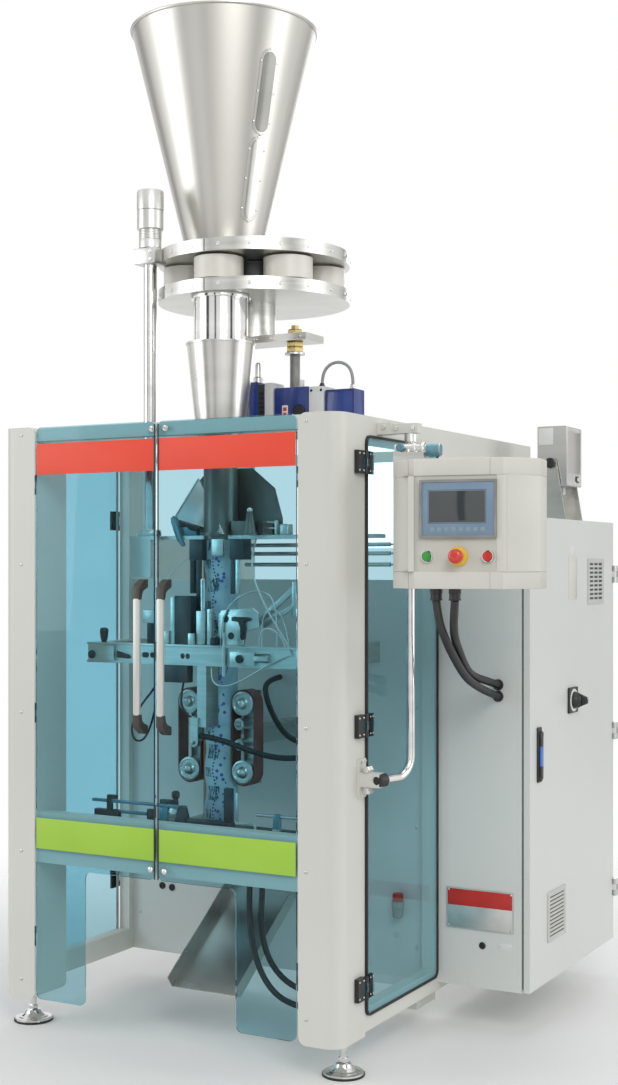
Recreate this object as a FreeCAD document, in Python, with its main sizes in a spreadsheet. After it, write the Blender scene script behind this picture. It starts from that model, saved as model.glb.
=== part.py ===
import FreeCAD, Part
import math
import os
import re

# Vertical form fill seal machine, millimetres, +Z up.
# Machine coordinates: X runs to the right along the front, Y to the back, Z up from the floor.
# X = 0 is the outer face of the right side frame, Y = 0 the front face of the doors.
# The parts are shifted at the end so that the origin is the middle of the footprint.

doc = FreeCAD.newDocument("vffs_machine")
sheet = doc.addObject("Spreadsheet::Sheet", "Sheet")

SIZES = [
    ("frame_w", 1200, "outer width of the two side frames"),
    ("frame_d", 1486, "depth of the side frames"),
    ("frame_h", 1880, "height of the frame"),
    ("post_w", 131, "width of the bent front post"),
    ("post_d", 160, "depth of the bent front post"),
    ("post_bend", 50, "outer bend radius of the front post"),
    ("post_low", 100, "underside of the front posts"),
    ("corner_r", 25, "rounded inner corners of the front plates"),
    ("wall_t", 40, "thickness of the side frames"),
    ("hatch_back", 630, "rear edge of the side hatches"),
    ("sill_low", 112, "underside of the side sills"),
    ("sill_top", 182, "top of the side sills"),
    ("head_h", 80, "height of the side heads"),
    ("open_front", 770, "front edge of the opening behind the inner wall, left side frame"),
    ("open_low", 1556, "lower edge of that opening"),
    ("glass_t", 6, "thickness of the tinted sheets"),
    ("gap", 6, "gap round the moving sheets"),
    ("beam_y", 11, "front face of the front cross beams"),
    ("beam_d", 40, "depth of the front cross beams"),
    ("top_beam_h", 44, "height of the front top beam"),
    ("low_beam_low", 528, "underside of the front lower beam"),
    ("low_beam_top", 685, "top of the front lower beam"),
    ("leg_low", 106, "lower edge of the door legs"),
    ("door_leg_l", 188, "width of the left door leg"),
    ("door_leg_r", 200, "width of the right door leg"),
    ("door_cut", 516, "upper edge of the cut out in the doors"),
    ("sheet_r", 22, "rounded corners of the tinted sheets"),
    ("inner_y", 655, "front face of the inner wall"),
    ("inner_t", 6, "thickness of the inner wall"),
    ("inner_top", 1404, "top of the inner wall"),
    ("foot_r", 60, "foot disc radius"),
    ("foot_h", 36, "height of the foot disc"),
    ("foot_stem_r", 10, "foot stem radius"),
    ("foot_x", 42, "foot centre from the side face"),
    ("foot_y", 106, "foot centre from the front face"),
    ("handle_low", 950, "lower end of the handle bars"),
    ("handle_top", 1409, "upper end of the handle bars"),
    ("handle_w", 26, "width of the handle bars"),
    ("handle_out", 46, "how far the handle bars stand out"),
    ("handle_in", 42, "handle bar centre from the meeting edge"),
    ("side_low", 158, "lower edge of the side sheets"),
    ("side_front", 160, "front edge of the side sheets"),
    ("side_back", 655, "rear edge of the side sheets"),
    ("hinge_x", 14, "side hinge pin from the side face"),
    ("hinge_y", 140, "side hinge pin from the front face"),
    ("hinge_h", 66, "height of the side hinges"),
    ("cab_y", 664, "front face of the cabinet"),
    ("cab_w", 282, "width of the cabinet body"),
    ("cab_low", 138, "underside of the cabinet"),
    ("cab_top", 1600, "top of the cabinet"),
    ("cab_door_t", 20, "thickness of the cabinet door"),
    ("tube_x", 96, "support tube centre from the side face"),
    ("tube_y", 262, "support tube centre from the front face"),
    ("tube_r", 12, "support tube radius"),
    ("tube_low", 842, "centre line of the lower run of the support tube"),
    ("tube_bend", 60, "bend radius of the support tube"),
    ("panel_turn", 9, "turn of the operator panel about the support tube"),
    ("panel_w", 416, "width of the operator panel housing"),
    ("panel_d", 170, "depth of the operator panel housing"),
    ("panel_h", 354, "height of the operator panel housing"),
    ("panel_front", 247, "front of the operator panel from the tube centre"),
    ("panel_left", -4, "left end of the operator panel from the tube centre"),
    ("panel_chamfer", 84, "bevel of the operator panel corners"),
    ("turret_y", 545, "turret axis from the front face"),
    ("disc_r", 312, "radius of the turret plates"),
    ("disc_t", 40, "thickness of the turret plates"),
    ("disc_h", 162, "height of the two turret plates together"),
    ("cup_r", 78, "outer radius of the measuring cups"),
    ("cup_circle", 218, "radius of the circle of cups"),
    ("cup_wall", 5, "wall of the measuring cups"),
    ("hopper_r", 305, "hopper rim radius"),
    ("hopper_neck", 122, "hopper neck radius"),
    ("hopper_h", 747, "height of the hopper above the turret plates"),
    ("hopper_wall", 4, "hopper wall"),
    ("drop_y", 340, "drop tube axis from the front face"),
    ("drop_r", 86, "drop tube radius"),
    ("funnel_r", 108, "funnel mouth radius"),
    ("neck_r", 47, "funnel neck and forming tube inner radius"),
    ("form_r", 54, "forming tube outer radius"),
    ("form_low", 660, "underside of the forming tube"),
    ("column_y", 300, "doser column axis from the front face"),
    ("column_r", 21, "doser column radius"),
    ("plate_t", 12, "thickness of the forming set plate"),
    ("knuckle", 20, "length of one hinge knuckle"),
    ("tray_low", 60, "underside of the tray below the base beam"),
    ("shaft_r", 24, "radius of the fixed shaft between the turret plates"),
    ("wheel_r", 38, "radius of the film belt wheels"),
    ("belt_t", 5, "thickness of the film belts"),
    ("screw_y", 530, "adjusting screw axis from the front face"),
    ("screw_r", 17, "adjusting screw radius"),
    ("drive_y", 480, "front face of the drive boxes on the frame"),
    ("drive_d", 71, "depth of the drive boxes"),
    ("coder_x", 148, "left side of the display box from the side face"),
    ("coder_w", 102, "width of the display box"),
    ("coder_y", 1161, "front face of the display box"),
    ("coder_d", 154, "depth of the display box"),
    ("coder_h", 202, "height of the display box"),
    ("latch_low", 778, "lower end of the cabinet latch"),
    ("latch_top", 949, "upper end of the cabinet latch"),
    ("switch_y", 1050, "main switch axis from the front face"),
    ("switch_z", 1010, "main switch axis height"),
    ("screen_h", 158, "height of the touch panel bezel"),
    ("screen_w", 214, "width of the touch panel bezel"),
    ("arm_low", 1141, "underside of the sealing arm"),
    ("arm_top", 1205, "top of the sealing arm"),
    ("jaw_z", 590, "height of the cross sealing jaws"),
    ("jaw_gap", 24, "half the opening of the cross sealing jaws"),
    ("guide_r", 12, "radius of the jaw guide rods"),
    ("guide_x", 270, "jaw guide rods from the forming tube axis"),
    ("guide_front", 160, "front ends of the jaw guide rods"),
    ("chute_y", 150, "front lip of the discharge chute"),
    ("chute_z", 160, "height of the lip of the discharge chute"),
    ("chute_w", 250, "width of the discharge chute"),
    ("chute_turn", 35, "slope of the discharge chute"),
    ("conduit_r", 12, "radius of the panel conduits"),
    ("hose_r", 9, "radius of the black hoses inside"),
]
# What follows from those sizes.
TIED = [
    ("head_low", "frame_h - head_h", "underside of the side heads"),
    ("open_top", "head_low + 20", "upper edge of that opening"),
    ("open_back", "frame_d - 46", "rear edge of that opening"),
    ("top_beam_low", "frame_h - top_beam_h", "underside of the front top beam"),
    ("foot_back", "frame_d - 86", "rear foot centre from the front face"),
    ("side_top", "head_low + 22", "upper edge of the side sheets"),
    ("cab_back", "frame_d + 14", "rear of the cabinet"),
    ("tube_top", "frame_h - 48", "top of the support tube"),
    ("panel_low", "tube_top - 446", "underside of the operator panel housing"),
    ("panel_top", "panel_low + panel_h", "top of the operator panel housing"),
    ("drop_x", "frame_w / 2", "drop tube axis, left of the right side"),
    ("meet_x", "frame_w / 2 + 12", "where the two front doors meet, left of the right side"),
    ("turret_x", "drop_x", "turret axis, left of the right side"),
    ("hopper_x", "turret_x + 115", "hopper axis, left of the right side"),
    ("hopper_y", "turret_y", "hopper axis from the front face"),
    ("column_x", "drop_x + 242", "doser column axis, left of the right side"),
    ("screw_x", "turret_x - 161", "adjusting screw axis, left of the right side"),
    ("funnel_low", "frame_h + 25", "underside of the funnel"),
    ("drop_low", "funnel_low + 245", "underside of the drop tube"),
    ("disc_low", "drop_low + 150", "underside of the lower turret plate"),
    ("disc_top", "disc_low + disc_h", "top of the upper turret plate"),
    ("hopper_top", "disc_top + hopper_h", "hopper rim height"),
    ("column_top", "disc_top + 188", "top of the doser column cap"),
    ("plate_z", "frame_h - 348", "underside of the forming set plate"),
    ("form_top", "funnel_low - 145", "top of the forming tube"),
    ("column_low", "plate_z + plate_t", "foot of the doser column"),
    ("coder_low", "cab_top + 118", "underside of the display box"),
    ("coder_top", "coder_low + coder_h", "top of the display box"),
    ("coder_pin", "coder_low + 77", "height of the clamping knobs of the display box"),
    ("buttons_z", "panel_low + 88", "height of the push buttons"),
    ("screen_low", "buttons_z + 50", "lower edge of the touch panel bezel"),
]
NAMES = {}
row = 1
for name, value, note in SIZES + [(name, "=" + text, note) for name, text, note in TIED]:
    sheet.set("A%d" % row, name)
    sheet.set("B%d" % row, str(value))
    sheet.set("C%d" % row, note)
    sheet.setAlias("B%d" % row, name)
    NAMES[name] = value
    row += 1
doc.recompute()

def ex(text):
    """A size expression with its sheet names filled in."""
    return re.sub(
        r"[a-z_][a-z0-9_]*",
        lambda m: "Sheet." + m.group(0) if m.group(0) in NAMES else m.group(0),
        str(text),
    )


def val(name):
    return float(sheet.get(name))


# The footprint, in machine coordinates, from the sizes that reach furthest.
LEFT = "(0 - frame_w - hinge_x - 7)"
RIGHT = (
    "(tube_x + (panel_left + panel_w) * cos(panel_turn)"
    " + (panel_front - panel_chamfer) * sin(panel_turn))"
)
FRONT = "(0 - handle_out)"
BACK = "cab_back"
SHIFT_X = "(0 - (%s + %s) / 2)" % (LEFT, RIGHT)
SHIFT_Y = "(0 - (%s + %s) / 2)" % (FRONT, BACK)

finished = []


def bind(obj, prop, text):
    obj.setExpression(prop, ex(text))


def box(name, x0, x1, y0, y1, z0, z1):
    """A box between two machine coordinates on each axis."""
    obj = doc.addObject("Part::Box", name)
    bind(obj, "Length", "(%s) - (%s)" % (x1, x0))
    bind(obj, "Width", "(%s) - (%s)" % (y1, y0))
    bind(obj, "Height", "(%s) - (%s)" % (z1, z0))
    bind(obj, "Placement.Base.x", x0)
    bind(obj, "Placement.Base.y", y0)
    bind(obj, "Placement.Base.z", z0)
    return obj


TURNS = {
    "z": FreeCAD.Rotation(FreeCAD.Vector(0, 0, 1), 0),
    "x": FreeCAD.Rotation(FreeCAD.Vector(0, 1, 0), 90),
    "y": FreeCAD.Rotation(FreeCAD.Vector(1, 0, 0), -90),
}


def aim(obj, axis, x, y, z):
    obj.Placement = FreeCAD.Placement(FreeCAD.Vector(0, 0, 0), TURNS[axis])
    bind(obj, "Placement.Base.x", x)
    bind(obj, "Placement.Base.y", y)
    bind(obj, "Placement.Base.z", z)


def rod(name, axis, x, y, z, length, radius):
    """A cylinder that starts at a point and runs along one axis."""
    obj = doc.addObject("Part::Cylinder", name)
    bind(obj, "Height", length)
    bind(obj, "Radius", radius)
    aim(obj, axis, x, y, z)
    return obj


def cone(name, x, y, z, length, r_low, r_top):
    obj = doc.addObject("Part::Cone", name)
    bind(obj, "Height", length)
    bind(obj, "Radius1", r_low)
    bind(obj, "Radius2", r_top)
    aim(obj, "z", x, y, z)
    return obj


def fuse(name, shapes):
    obj = doc.addObject("Part::MultiFuse", name)
    obj.Shapes = shapes
    doc.recompute()
    return obj


def cut(name, base, tool):
    obj = doc.addObject("Part::Cut", name)
    obj.Base = base
    obj.Tool = tool
    doc.recompute()
    return obj


def group(name, shapes):
    obj = doc.addObject("Part::Compound", name)
    obj.Links = shapes
    doc.recompute()
    return obj


def along(edge, axis):
    """True where the edge is straight and runs along the axis."""
    if edge.Curve.TypeId != "Part::GeomLine":
        return False
    a = edge.Vertexes[0].Point
    b = edge.Vertexes[-1].Point
    d = b - a
    return abs(abs(d[axis]) - d.Length) < 1e-6


def round_edges(name, base, axis, wanted, radius, kind="Part::Fillet"):
    """Rounds the straight edges along an axis that pass a test on their middle point."""
    doc.recompute()
    obj = doc.addObject(kind, name)
    obj.Base = base
    picked = []
    for i, edge in enumerate(base.Shape.Edges):
        if along(edge, axis):
            middle = (edge.Vertexes[0].Point + edge.Vertexes[-1].Point) * 0.5
            if wanted(middle):
                picked.append((i + 1, radius, radius))
    if not picked:
        raise RuntimeError("no edge to round on " + name)
    obj.Edges = picked
    doc.recompute()
    return obj


def node(label, obj, x=None, y=None, turn=None):
    """Names a finished part and moves it into the frame of the whole machine."""
    wrap = doc.addObject("Part::Compound", label)
    wrap.Links = [obj]
    wrap.Label = label
    bind(wrap, "Placement.Base.x", SHIFT_X if x is None else "%s + (%s)" % (SHIFT_X, x))
    bind(wrap, "Placement.Base.y", SHIFT_Y if y is None else "%s + (%s)" % (SHIFT_Y, y))
    if turn is not None:
        bind(wrap, "Placement.Rotation.Angle", turn)
    doc.recompute()
    finished.append(wrap)
    return wrap


def near(a, b, tol=0.5):
    return abs(a - b) < tol


# Side frames: a bent front post, a sill, a head and the closed rear wall, on each side.
def side_frame(label, side):
    w = val("frame_w")
    if side > 0:
        x0, x1 = "0 - post_w", "0"
        t0, t1 = "0 - wall_t", "0"
        outer, inner = 0.0, -val("post_w")
    else:
        x0, x1 = "0 - frame_w", "0 - frame_w + post_w"
        t0, t1 = "0 - frame_w", "0 - frame_w + wall_t"
        outer, inner = -w, -w + val("post_w")
    post = box(label + "_post", x0, x1, "0", "post_d", "post_low", "frame_h")
    bent = round_edges(
        label + "_bend", post, 2, lambda m: near(m.x, outer) and near(m.y, 0), val("post_bend")
    )
    soft = round_edges(
        label + "_soft", bent, 1, lambda m: near(m.x, inner), val("corner_r")
    )
    sill = box(label + "_sill", t0, t1, "post_d", "hatch_back", "sill_low", "sill_top")
    head = box(label + "_head", t0, t1, "post_d", "hatch_back", "head_low", "frame_h")
    rear = box(label + "_rear", t0, t1, "hatch_back", "frame_d", "sill_low", "frame_h")
    whole = fuse(label + "_all", [soft, sill, head, rear])
    if side < 0:
        hole = box(
            label + "_hole", "(%s) - 1" % t0, "(%s) + 1" % t1, "open_front", "open_back", "open_low",
            "open_top",
        )
        whole = cut(label + "_open", whole, hole)
    node(label, whole)


side_frame("side_frame_right", 1)
side_frame("side_frame_left", -1)

# Cross beams: two at the front behind the doors, two at the rear, the base beam and its tray.
def cross_beam(name, y0, y1, z0, z1, left="0 - frame_w + wall_t", right="0 - wall_t"):
    return box(name, left, right, y0, y1, z0, z1)


post_l, post_r = "0 - frame_w + post_w", "0 - post_w"
beam_back = "beam_y + beam_d"
wall_back = "inner_y + inner_t"
beams = [
    cross_beam("top_beam", "beam_y", beam_back, "top_beam_low", "frame_h - 4", post_l, post_r),
    cross_beam("low_beam", "beam_y", beam_back, "low_beam_low", "low_beam_top", post_l, post_r),
    cross_beam("rear_top", "frame_d - 40", "frame_d", "frame_h - 38", "frame_h"),
    cross_beam("rear_low", "frame_d - 40", "frame_d", "sill_low", "sill_top"),
    cross_beam("base_beam", wall_back, wall_back + " + 80", "sill_low", "sill_top"),
]
tray = box(
    "tray", "0 - wall_t - 70", "0 - wall_t - 2", "inner_y - 55", wall_back + " + 80", "tray_low",
    "sill_low",
)
node("cross_beams", group("beam_set", beams[:4] + [fuse("base_all", [beams[4], tray])]))

# Inner wall that carries the film pulling and sealing units.
node(
    "inner_wall",
    box(
        "inner_sheet", "0 - frame_w + wall_t", "0 - wall_t", "inner_y", "inner_y + inner_t",
        "sill_low", "inner_top",
    ),
)

# Levelling feet.
def foot(label, x, y, top):
    pad = rod(label + "_pad", "z", x, y, "0", "8", "foot_r")
    disc = cone(label + "_disc", x, y, "8", "foot_h - 8", "foot_r", "foot_r * 0.42")
    stem = rod(label + "_stem", "z", x, y, "foot_h - 2", "(%s) - foot_h + 2" % top, "foot_stem_r")
    nut = rod(label + "_nut", "z", x, y, "(%s) - 24" % top, "16", "foot_stem_r + 7")
    return fuse(label + "_all", [pad, disc, stem, nut])


node("levelling_feet", group("feet", [
    foot("foot_fr", "0 - foot_x", "foot_y", "post_low"),
    foot("foot_fl", "0 - frame_w + foot_x", "foot_y", "post_low"),
    foot("foot_rr", "0 - 20", "foot_back", "sill_low"),
    foot("foot_rl", "0 - frame_w + 20", "foot_back", "sill_low"),
]))

# Front doors: tinted sheets with one long leg each, and a bar handle.
def front_door(label, left, right, leg, side):
    full = box(label + "_full", left, right, "0", "glass_t", "leg_low", "frame_h - 2")
    if side < 0:
        away = box(
            label + "_away", "%s + %s" % (left, leg), "%s + 10" % right, "-5", "glass_t + 5",
            "leg_low - 10", "door_cut",
        )
    else:
        away = box(
            label + "_away", "%s - 10" % left, "%s - %s" % (right, leg), "-5", "glass_t + 5",
            "leg_low - 10", "door_cut",
        )
    shape = cut(label + "_leg", full, away)
    soft = round_edges(label + "_soft", shape, 1, lambda m: True, val("sheet_r"))
    return soft


left_edge = "0 - frame_w + post_w + gap"
left_meet = "0 - meet_x - gap / 2 - 1"
right_meet = "0 - meet_x + gap / 2 + 1"
right_edge = "0 - post_w - gap"
DOOR_HINGES = [("low", 300), ("mid", 993), ("top", 1700)]


def front_knuckles(label, side, moving):
    """The thin hinges in the gap between a front post and its door: pins and outer knuckles
    on the post, the middle knuckles on the door."""
    edge = "(0 - post_w)" if side > 0 else "(0 - frame_w + post_w)"
    axis = "%s - %d * gap / 2" % (edge, side)
    parts = []
    for n, z in DOOR_HINGES:
        low = "%g - knuckle * 1.5" % z
        if moving:
            eye = rod(
                "%s_%s_eye" % (label, n), "z", axis, "0", low + " + knuckle + 0.4", "knuckle - 0.8",
                "2.5",
            )
            a, b = axis, "%s - %d * (gap + 0.2)" % (edge, side)
            if side > 0:
                a, b = b, a
            web = box(
                "%s_%s_web" % (label, n), a, b, "0", "2.4", low + " + knuckle + 0.4",
                low + " + knuckle * 2 - 0.4",
            )
            way = rod("%s_%s_way" % (label, n), "z", axis, "0", low, "knuckle * 3", "1.7")
            parts.append(cut("%s_%s" % (label, n), fuse("%s_%s_all" % (label, n), [eye, web]), way))
        else:
            pin = rod("%s_%s_pin" % (label, n), "z", axis, "0", low, "knuckle * 3", "1.4")
            pieces = [pin]
            for k, start in (("a", low), ("b", low + " + knuckle * 2")):
                pieces.append(rod("%s_%s_eye%s" % (label, n, k), "z", axis, "0", start, "knuckle", "2.5"))
                a, b = axis, edge
                if side < 0:
                    a, b = b, a
                pieces.append(box(
                    "%s_%s_web%s" % (label, n, k), a, b, "0", "2.4", start, start + " + knuckle",
                ))
            parts.append(fuse("%s_%s" % (label, n), pieces))
    return parts


sheet_l = front_door("door_l", left_edge, left_meet, "door_leg_l", -1)
sheet_r = front_door("door_r", right_meet, right_edge, "door_leg_r", 1)
node("front_door_left", fuse("door_l_all", [sheet_l] + front_knuckles("knuckle_l", -1, True)))
node("front_door_right", fuse("door_r_all", [sheet_r] + front_knuckles("knuckle_r", 1, True)))
node(
    "front_hinges",
    group("front_hinge_set", front_knuckles("hinge_l", -1, False) + front_knuckles("hinge_r", 1, False)),
)


def handle(label, x):
    bar = box(
        label + "_bar", "%s - handle_w / 2" % x, "%s + handle_w / 2" % x, "0 - handle_out",
        "0 - handle_out + 12", "handle_low", "handle_top",
    )
    low = box(
        label + "_low", "%s - handle_w / 2" % x, "%s + handle_w / 2" % x, "0 - handle_out + 12",
        "-0.3", "handle_low", "handle_low + 40",
    )
    top = box(
        label + "_top", "%s - handle_w / 2" % x, "%s + handle_w / 2" % x, "0 - handle_out + 12",
        "-0.3", "handle_top - 40", "handle_top",
    )
    node(label, fuse(label + "_all", [bar, low, top]))


handle("handle_left", "(0 - meet_x - handle_in)")
handle("handle_right", "(0 - meet_x + handle_in)")

# Side doors with their hinges.
def side_door(label, side):
    if side > 0:
        a, b = "0.5", "0.5 + glass_t"
    else:
        a, b = "0 - frame_w - 0.5 - glass_t", "0 - frame_w - 0.5"
    back = "side_back" if side > 0 else "hatch_back - 10"
    front = "side_front" if side > 0 else "post_d - 25"
    sheet_box = box(label + "_sheet", a, b, front, back, "side_low", "side_top")
    return round_edges(label + "_soft", sheet_box, 0, lambda m: True, val("sheet_r"))


def hinge_leaf(label, z, fixed, side):
    """One leaf of a hinge: on the right side ahead of the sheet, on the left side behind it."""
    z0 = "%g - hinge_h / 2" % z
    z1 = "%g + hinge_h / 2" % z
    face = "0" if side > 0 else "(0 - frame_w)"
    pin_y = "hinge_y" if side > 0 else "(hatch_back + 10)"
    edge = "side_front" if side > 0 else "(hatch_back - 10)"
    pin_x = "%s + %d * hinge_x" % (face, side)

    def slab(name, out0, out1, back0, back1, low, high):
        xs = ["%s + %d * (%s)" % (face, side, out0), "%s + %d * (%s)" % (face, side, out1)]
        if side < 0:
            xs.reverse()
        if side > 0:
            ys = ["%s + %s" % (pin_y, back0), "%s + %s" % (pin_y, back1)]
        else:
            ys = ["%s - (%s)" % (pin_y, back1), "%s - (%s)" % (pin_y, back0)]
        return box(label + name, xs[0], xs[1], ys[0], ys[1], low, high)

    if fixed:
        leaf = slab("_leaf", "0.3", "hinge_x", "(-48)", "(-8)", z0, z1)
        eye0 = rod(label + "_eye0", "z", pin_x, pin_y, z0, "18", "7")
        eye1 = rod(label + "_eye1", "z", pin_x, pin_y, "(%s) - 18" % z1, "18", "7")
        web0 = slab("_web0", "8", "hinge_x", "(-10)", "0", z0, "(%s) + 18" % z0)
        web1 = slab("_web1", "8", "hinge_x", "(-10)", "0", "(%s) - 18" % z1, z1)
        pin = rod(label + "_pin", "z", pin_x, pin_y, z0, "hinge_h", "3")
        return fuse(label + "_part", [leaf, eye0, eye1, web0, web1, pin])
    strap = slab("_leaf", "0.5 + glass_t", "hinge_x", "20", "50", z0, z1)
    eye = rod(label + "_eye", "z", pin_x, pin_y, "(%s) + 20" % z0, "hinge_h - 40", "7")
    web = slab("_web", "8", "hinge_x", "0", "22", "(%s) + 20" % z0, "(%s) - 20" % z1)
    bore = rod(label + "_bore", "z", pin_x, pin_y, z0, "hinge_h", "3.6")
    return cut(label + "_part", fuse(label + "_solid", [strap, eye, web]), bore)


RIGHT_HINGES = [("low", 246), ("mid", 993), ("top", 1744)]
LEFT_HINGES = [("low_l", 358), ("top_l", 1606)]
straps_right = [hinge_leaf("mov_" + n, z, False, 1) for n, z in RIGHT_HINGES]
straps_left = [hinge_leaf("mov_" + n, z, False, -1) for n, z in LEFT_HINGES]
node("side_door_right", group("side_r", [side_door("sheet_right", 1)] + straps_right))
node("side_door_left", group("side_l", [side_door("sheet_left", -1)] + straps_left))
fixed_right = [hinge_leaf("fix_" + n, z, True, 1) for n, z in RIGHT_HINGES]
fixed_left = [hinge_leaf("fix_" + n, z, True, -1) for n, z in LEFT_HINGES]
node("side_hinges", group("side_hinge_set", fixed_right + fixed_left))

# Electrical cabinet on the right side, its door, hinges, latch and main switch.
door_in = "(cab_w + gap)"
door_out = "(cab_w + gap + cab_door_t)"
cab_end = "(cab_back - 6)"
pin_x, pin_y = door_out + " + 7", cab_end + " - 12"
CAB_HINGES = [("low", 320), ("mid", 870), ("top", 1420)]
node("cabinet_body", box("cab_box", "0.3", "cab_w", "cab_y", cab_end, "cab_low", "cab_top"))
moving = []
fixed = []
for n, z in CAB_HINGES:
    low = "%g - knuckle * 1.5" % z
    eye = rod("cab_eye_" + n, "z", pin_x, pin_y, low + " + knuckle + 0.4", "knuckle - 0.8", "7")
    web = box(
        "cab_web_" + n, door_out, pin_x, pin_y + " - 7", pin_y + " + 3", low + " + knuckle + 0.4",
        low + " + knuckle * 2 - 0.4",
    )
    way = rod("cab_way_" + n, "z", pin_x, pin_y, low, "knuckle * 3", "3.4")
    moving.append(cut("cab_moving_" + n, fuse("cab_moving_all_" + n, [eye, web]), way))
    parts = [
        rod("cab_pin_" + n, "z", pin_x, pin_y, low, "knuckle * 3", "3"),
        box(
            "cab_leaf_" + n, "cab_w - 24", pin_x + " + 7", cab_end, "cab_back", low,
            low + " + knuckle * 3",
        ),
    ]
    for k, start in (("a", low), ("b", low + " + knuckle * 2")):
        parts.append(rod("cab_fixed_eye_%s%s" % (n, k), "z", pin_x, pin_y, start, "knuckle", "7"))
        parts.append(box(
            "cab_fixed_web_%s%s" % (n, k), pin_x + " + 1", pin_x + " + 7", pin_y, cab_end, start,
            start + " + knuckle",
        ))
    fixed.append(fuse("cab_fixed_" + n, parts))
leaf = box("cab_leaf", door_in, door_out, "cab_y + 2", cab_end + " - 6", "cab_low + 2", "cab_top")
node("cabinet_door", fuse("cab_door_all", [leaf] + moving))
node("cabinet_hinges", group("cab_hinge_set", fixed))
node(
    "cabinet_latch",
    box(
        "latch_box", door_out + " + 0.3", door_out + " + 14", "cab_y + 60", "cab_y + 92",
        "latch_low", "latch_top",
    ),
)
node(
    "main_switch_plate",
    box(
        "switch_plate", door_out + " + 0.3", door_out + " + 8", "switch_y - 40", "switch_y + 40",
        "switch_z - 40", "switch_z + 40",
    ),
)
switch_hub = rod("switch_hub", "x", door_out + " + 8.3", "switch_y", "switch_z", "17", "27")
switch_bar = box(
    "switch_bar", door_out + " + 25", door_out + " + 55", "switch_y - 8", "switch_y + 8",
    "switch_z - 27", "switch_z + 27",
)
node("main_switch_knob", fuse("switch_knob_all", [switch_hub, switch_bar]))

# Display box held between two upright plates on top of the cabinet.
case = box(
    "coder_case", "coder_x", "coder_x + coder_w", "coder_y", "coder_y + coder_d", "coder_low",
    "coder_top",
)
case_soft = round_edges("coder_soft", case, 1, lambda m: True, 4)
node("display_box", case_soft)


def yoke_plate(name, y0, y1):
    """A tapering plate with a round top, upright on the cabinet."""
    cx = val("coder_x") + val("coder_w") / 2
    r = 20
    half = val("coder_w") / 2 + 2
    low = val("cab_top")
    pin = val("coder_pin")
    slope = math.atan2(half - r, pin - low)
    dx, dz = r * math.cos(slope), r * math.sin(slope)
    a = FreeCAD.Vector(cx - half, y0, low)
    b = FreeCAD.Vector(cx + half, y0, low)
    c = FreeCAD.Vector(cx + dx, y0, pin + dz)
    d = FreeCAD.Vector(cx - dx, y0, pin + dz)
    top = FreeCAD.Vector(cx, y0, pin + r)
    wire = Part.Wire([
        Part.makeLine(a, b), Part.makeLine(b, c), Part.Arc(c, top, d).toShape(),
        Part.makeLine(d, a),
    ])
    obj = doc.addObject("Part::Feature", name)
    obj.Shape = Part.Face(wire).extrude(FreeCAD.Vector(0, y1 - y0, 0))
    return obj


coder_mid = "(coder_x + coder_w / 2)"
plate_front = yoke_plate("yoke_front", val("coder_y") - 10, val("coder_y") - 5)
coder_rear = val("coder_y") + val("coder_d")
plate_rear = yoke_plate("yoke_rear", coder_rear + 5, coder_rear + 10)
foot_front = box(
    "yoke_foot_f", "coder_x", "coder_x + coder_w", "coder_y - 10", "coder_y + 30", "cab_top",
    "cab_top + 5",
)
foot_rear = box(
    "yoke_foot_r", "coder_x", "coder_x + coder_w", "coder_y + coder_d - 30",
    "coder_y + coder_d + 10", "cab_top", "cab_top + 5",
)
knob_front = rod("yoke_knob_f", "y", coder_mid, "coder_y - 22", "coder_pin", "21.7", "15")
knob_rear = rod("yoke_knob_r", "y", coder_mid, "coder_y + coder_d + 0.3", "coder_pin", "21.7", "15")
node("display_bracket", group("bracket_pair", [
    fuse("yoke_all_f", [plate_front, foot_front, knob_front]),
    fuse("yoke_all_r", [plate_rear, foot_rear, knob_rear]),
]))

# Support tube of the operator panel with its two brackets.
tube_lean = math.radians(14)


def run_point(s):
    """A point on the lower run of the support tube, measured from its vertical part."""
    return (
        val("tube_x") - s * math.sin(tube_lean), val("tube_y") - s * math.cos(tube_lean),
        val("tube_low"),
    )


def pipe(label, points, radius, bends):
    """A round bar through points, its corners bent to the given radii."""
    edges = []
    last = FreeCAD.Vector(*points[0])
    for i in range(1, len(points) - 1):
        p = FreeCAD.Vector(*points[i])
        a = (FreeCAD.Vector(*points[i - 1]) - p).normalize()
        b = (FreeCAD.Vector(*points[i + 1]) - p).normalize()
        half = a.getAngle(b) / 2
        setback = bends[i - 1] / math.tan(half)
        start = p + a * setback
        end = p + b * setback
        bis = (a + b).normalize()
        centre = p + bis * (bends[i - 1] / math.sin(half))
        mid = centre - bis * bends[i - 1]
        edges.append(Part.makeLine(last, start))
        edges.append(Part.Arc(start, mid, end).toShape())
        last = end
    edges.append(Part.makeLine(last, FreeCAD.Vector(*points[-1])))
    wire = Part.Wire(edges)
    d0 = (FreeCAD.Vector(*points[1]) - FreeCAD.Vector(*points[0])).normalize()
    ring = Part.Wire(Part.makeCircle(radius, FreeCAD.Vector(*points[0]), d0))
    solid = wire.makePipeShell([ring], True, False)
    obj = doc.addObject("Part::Feature", label)
    obj.Shape = solid
    return obj


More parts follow.
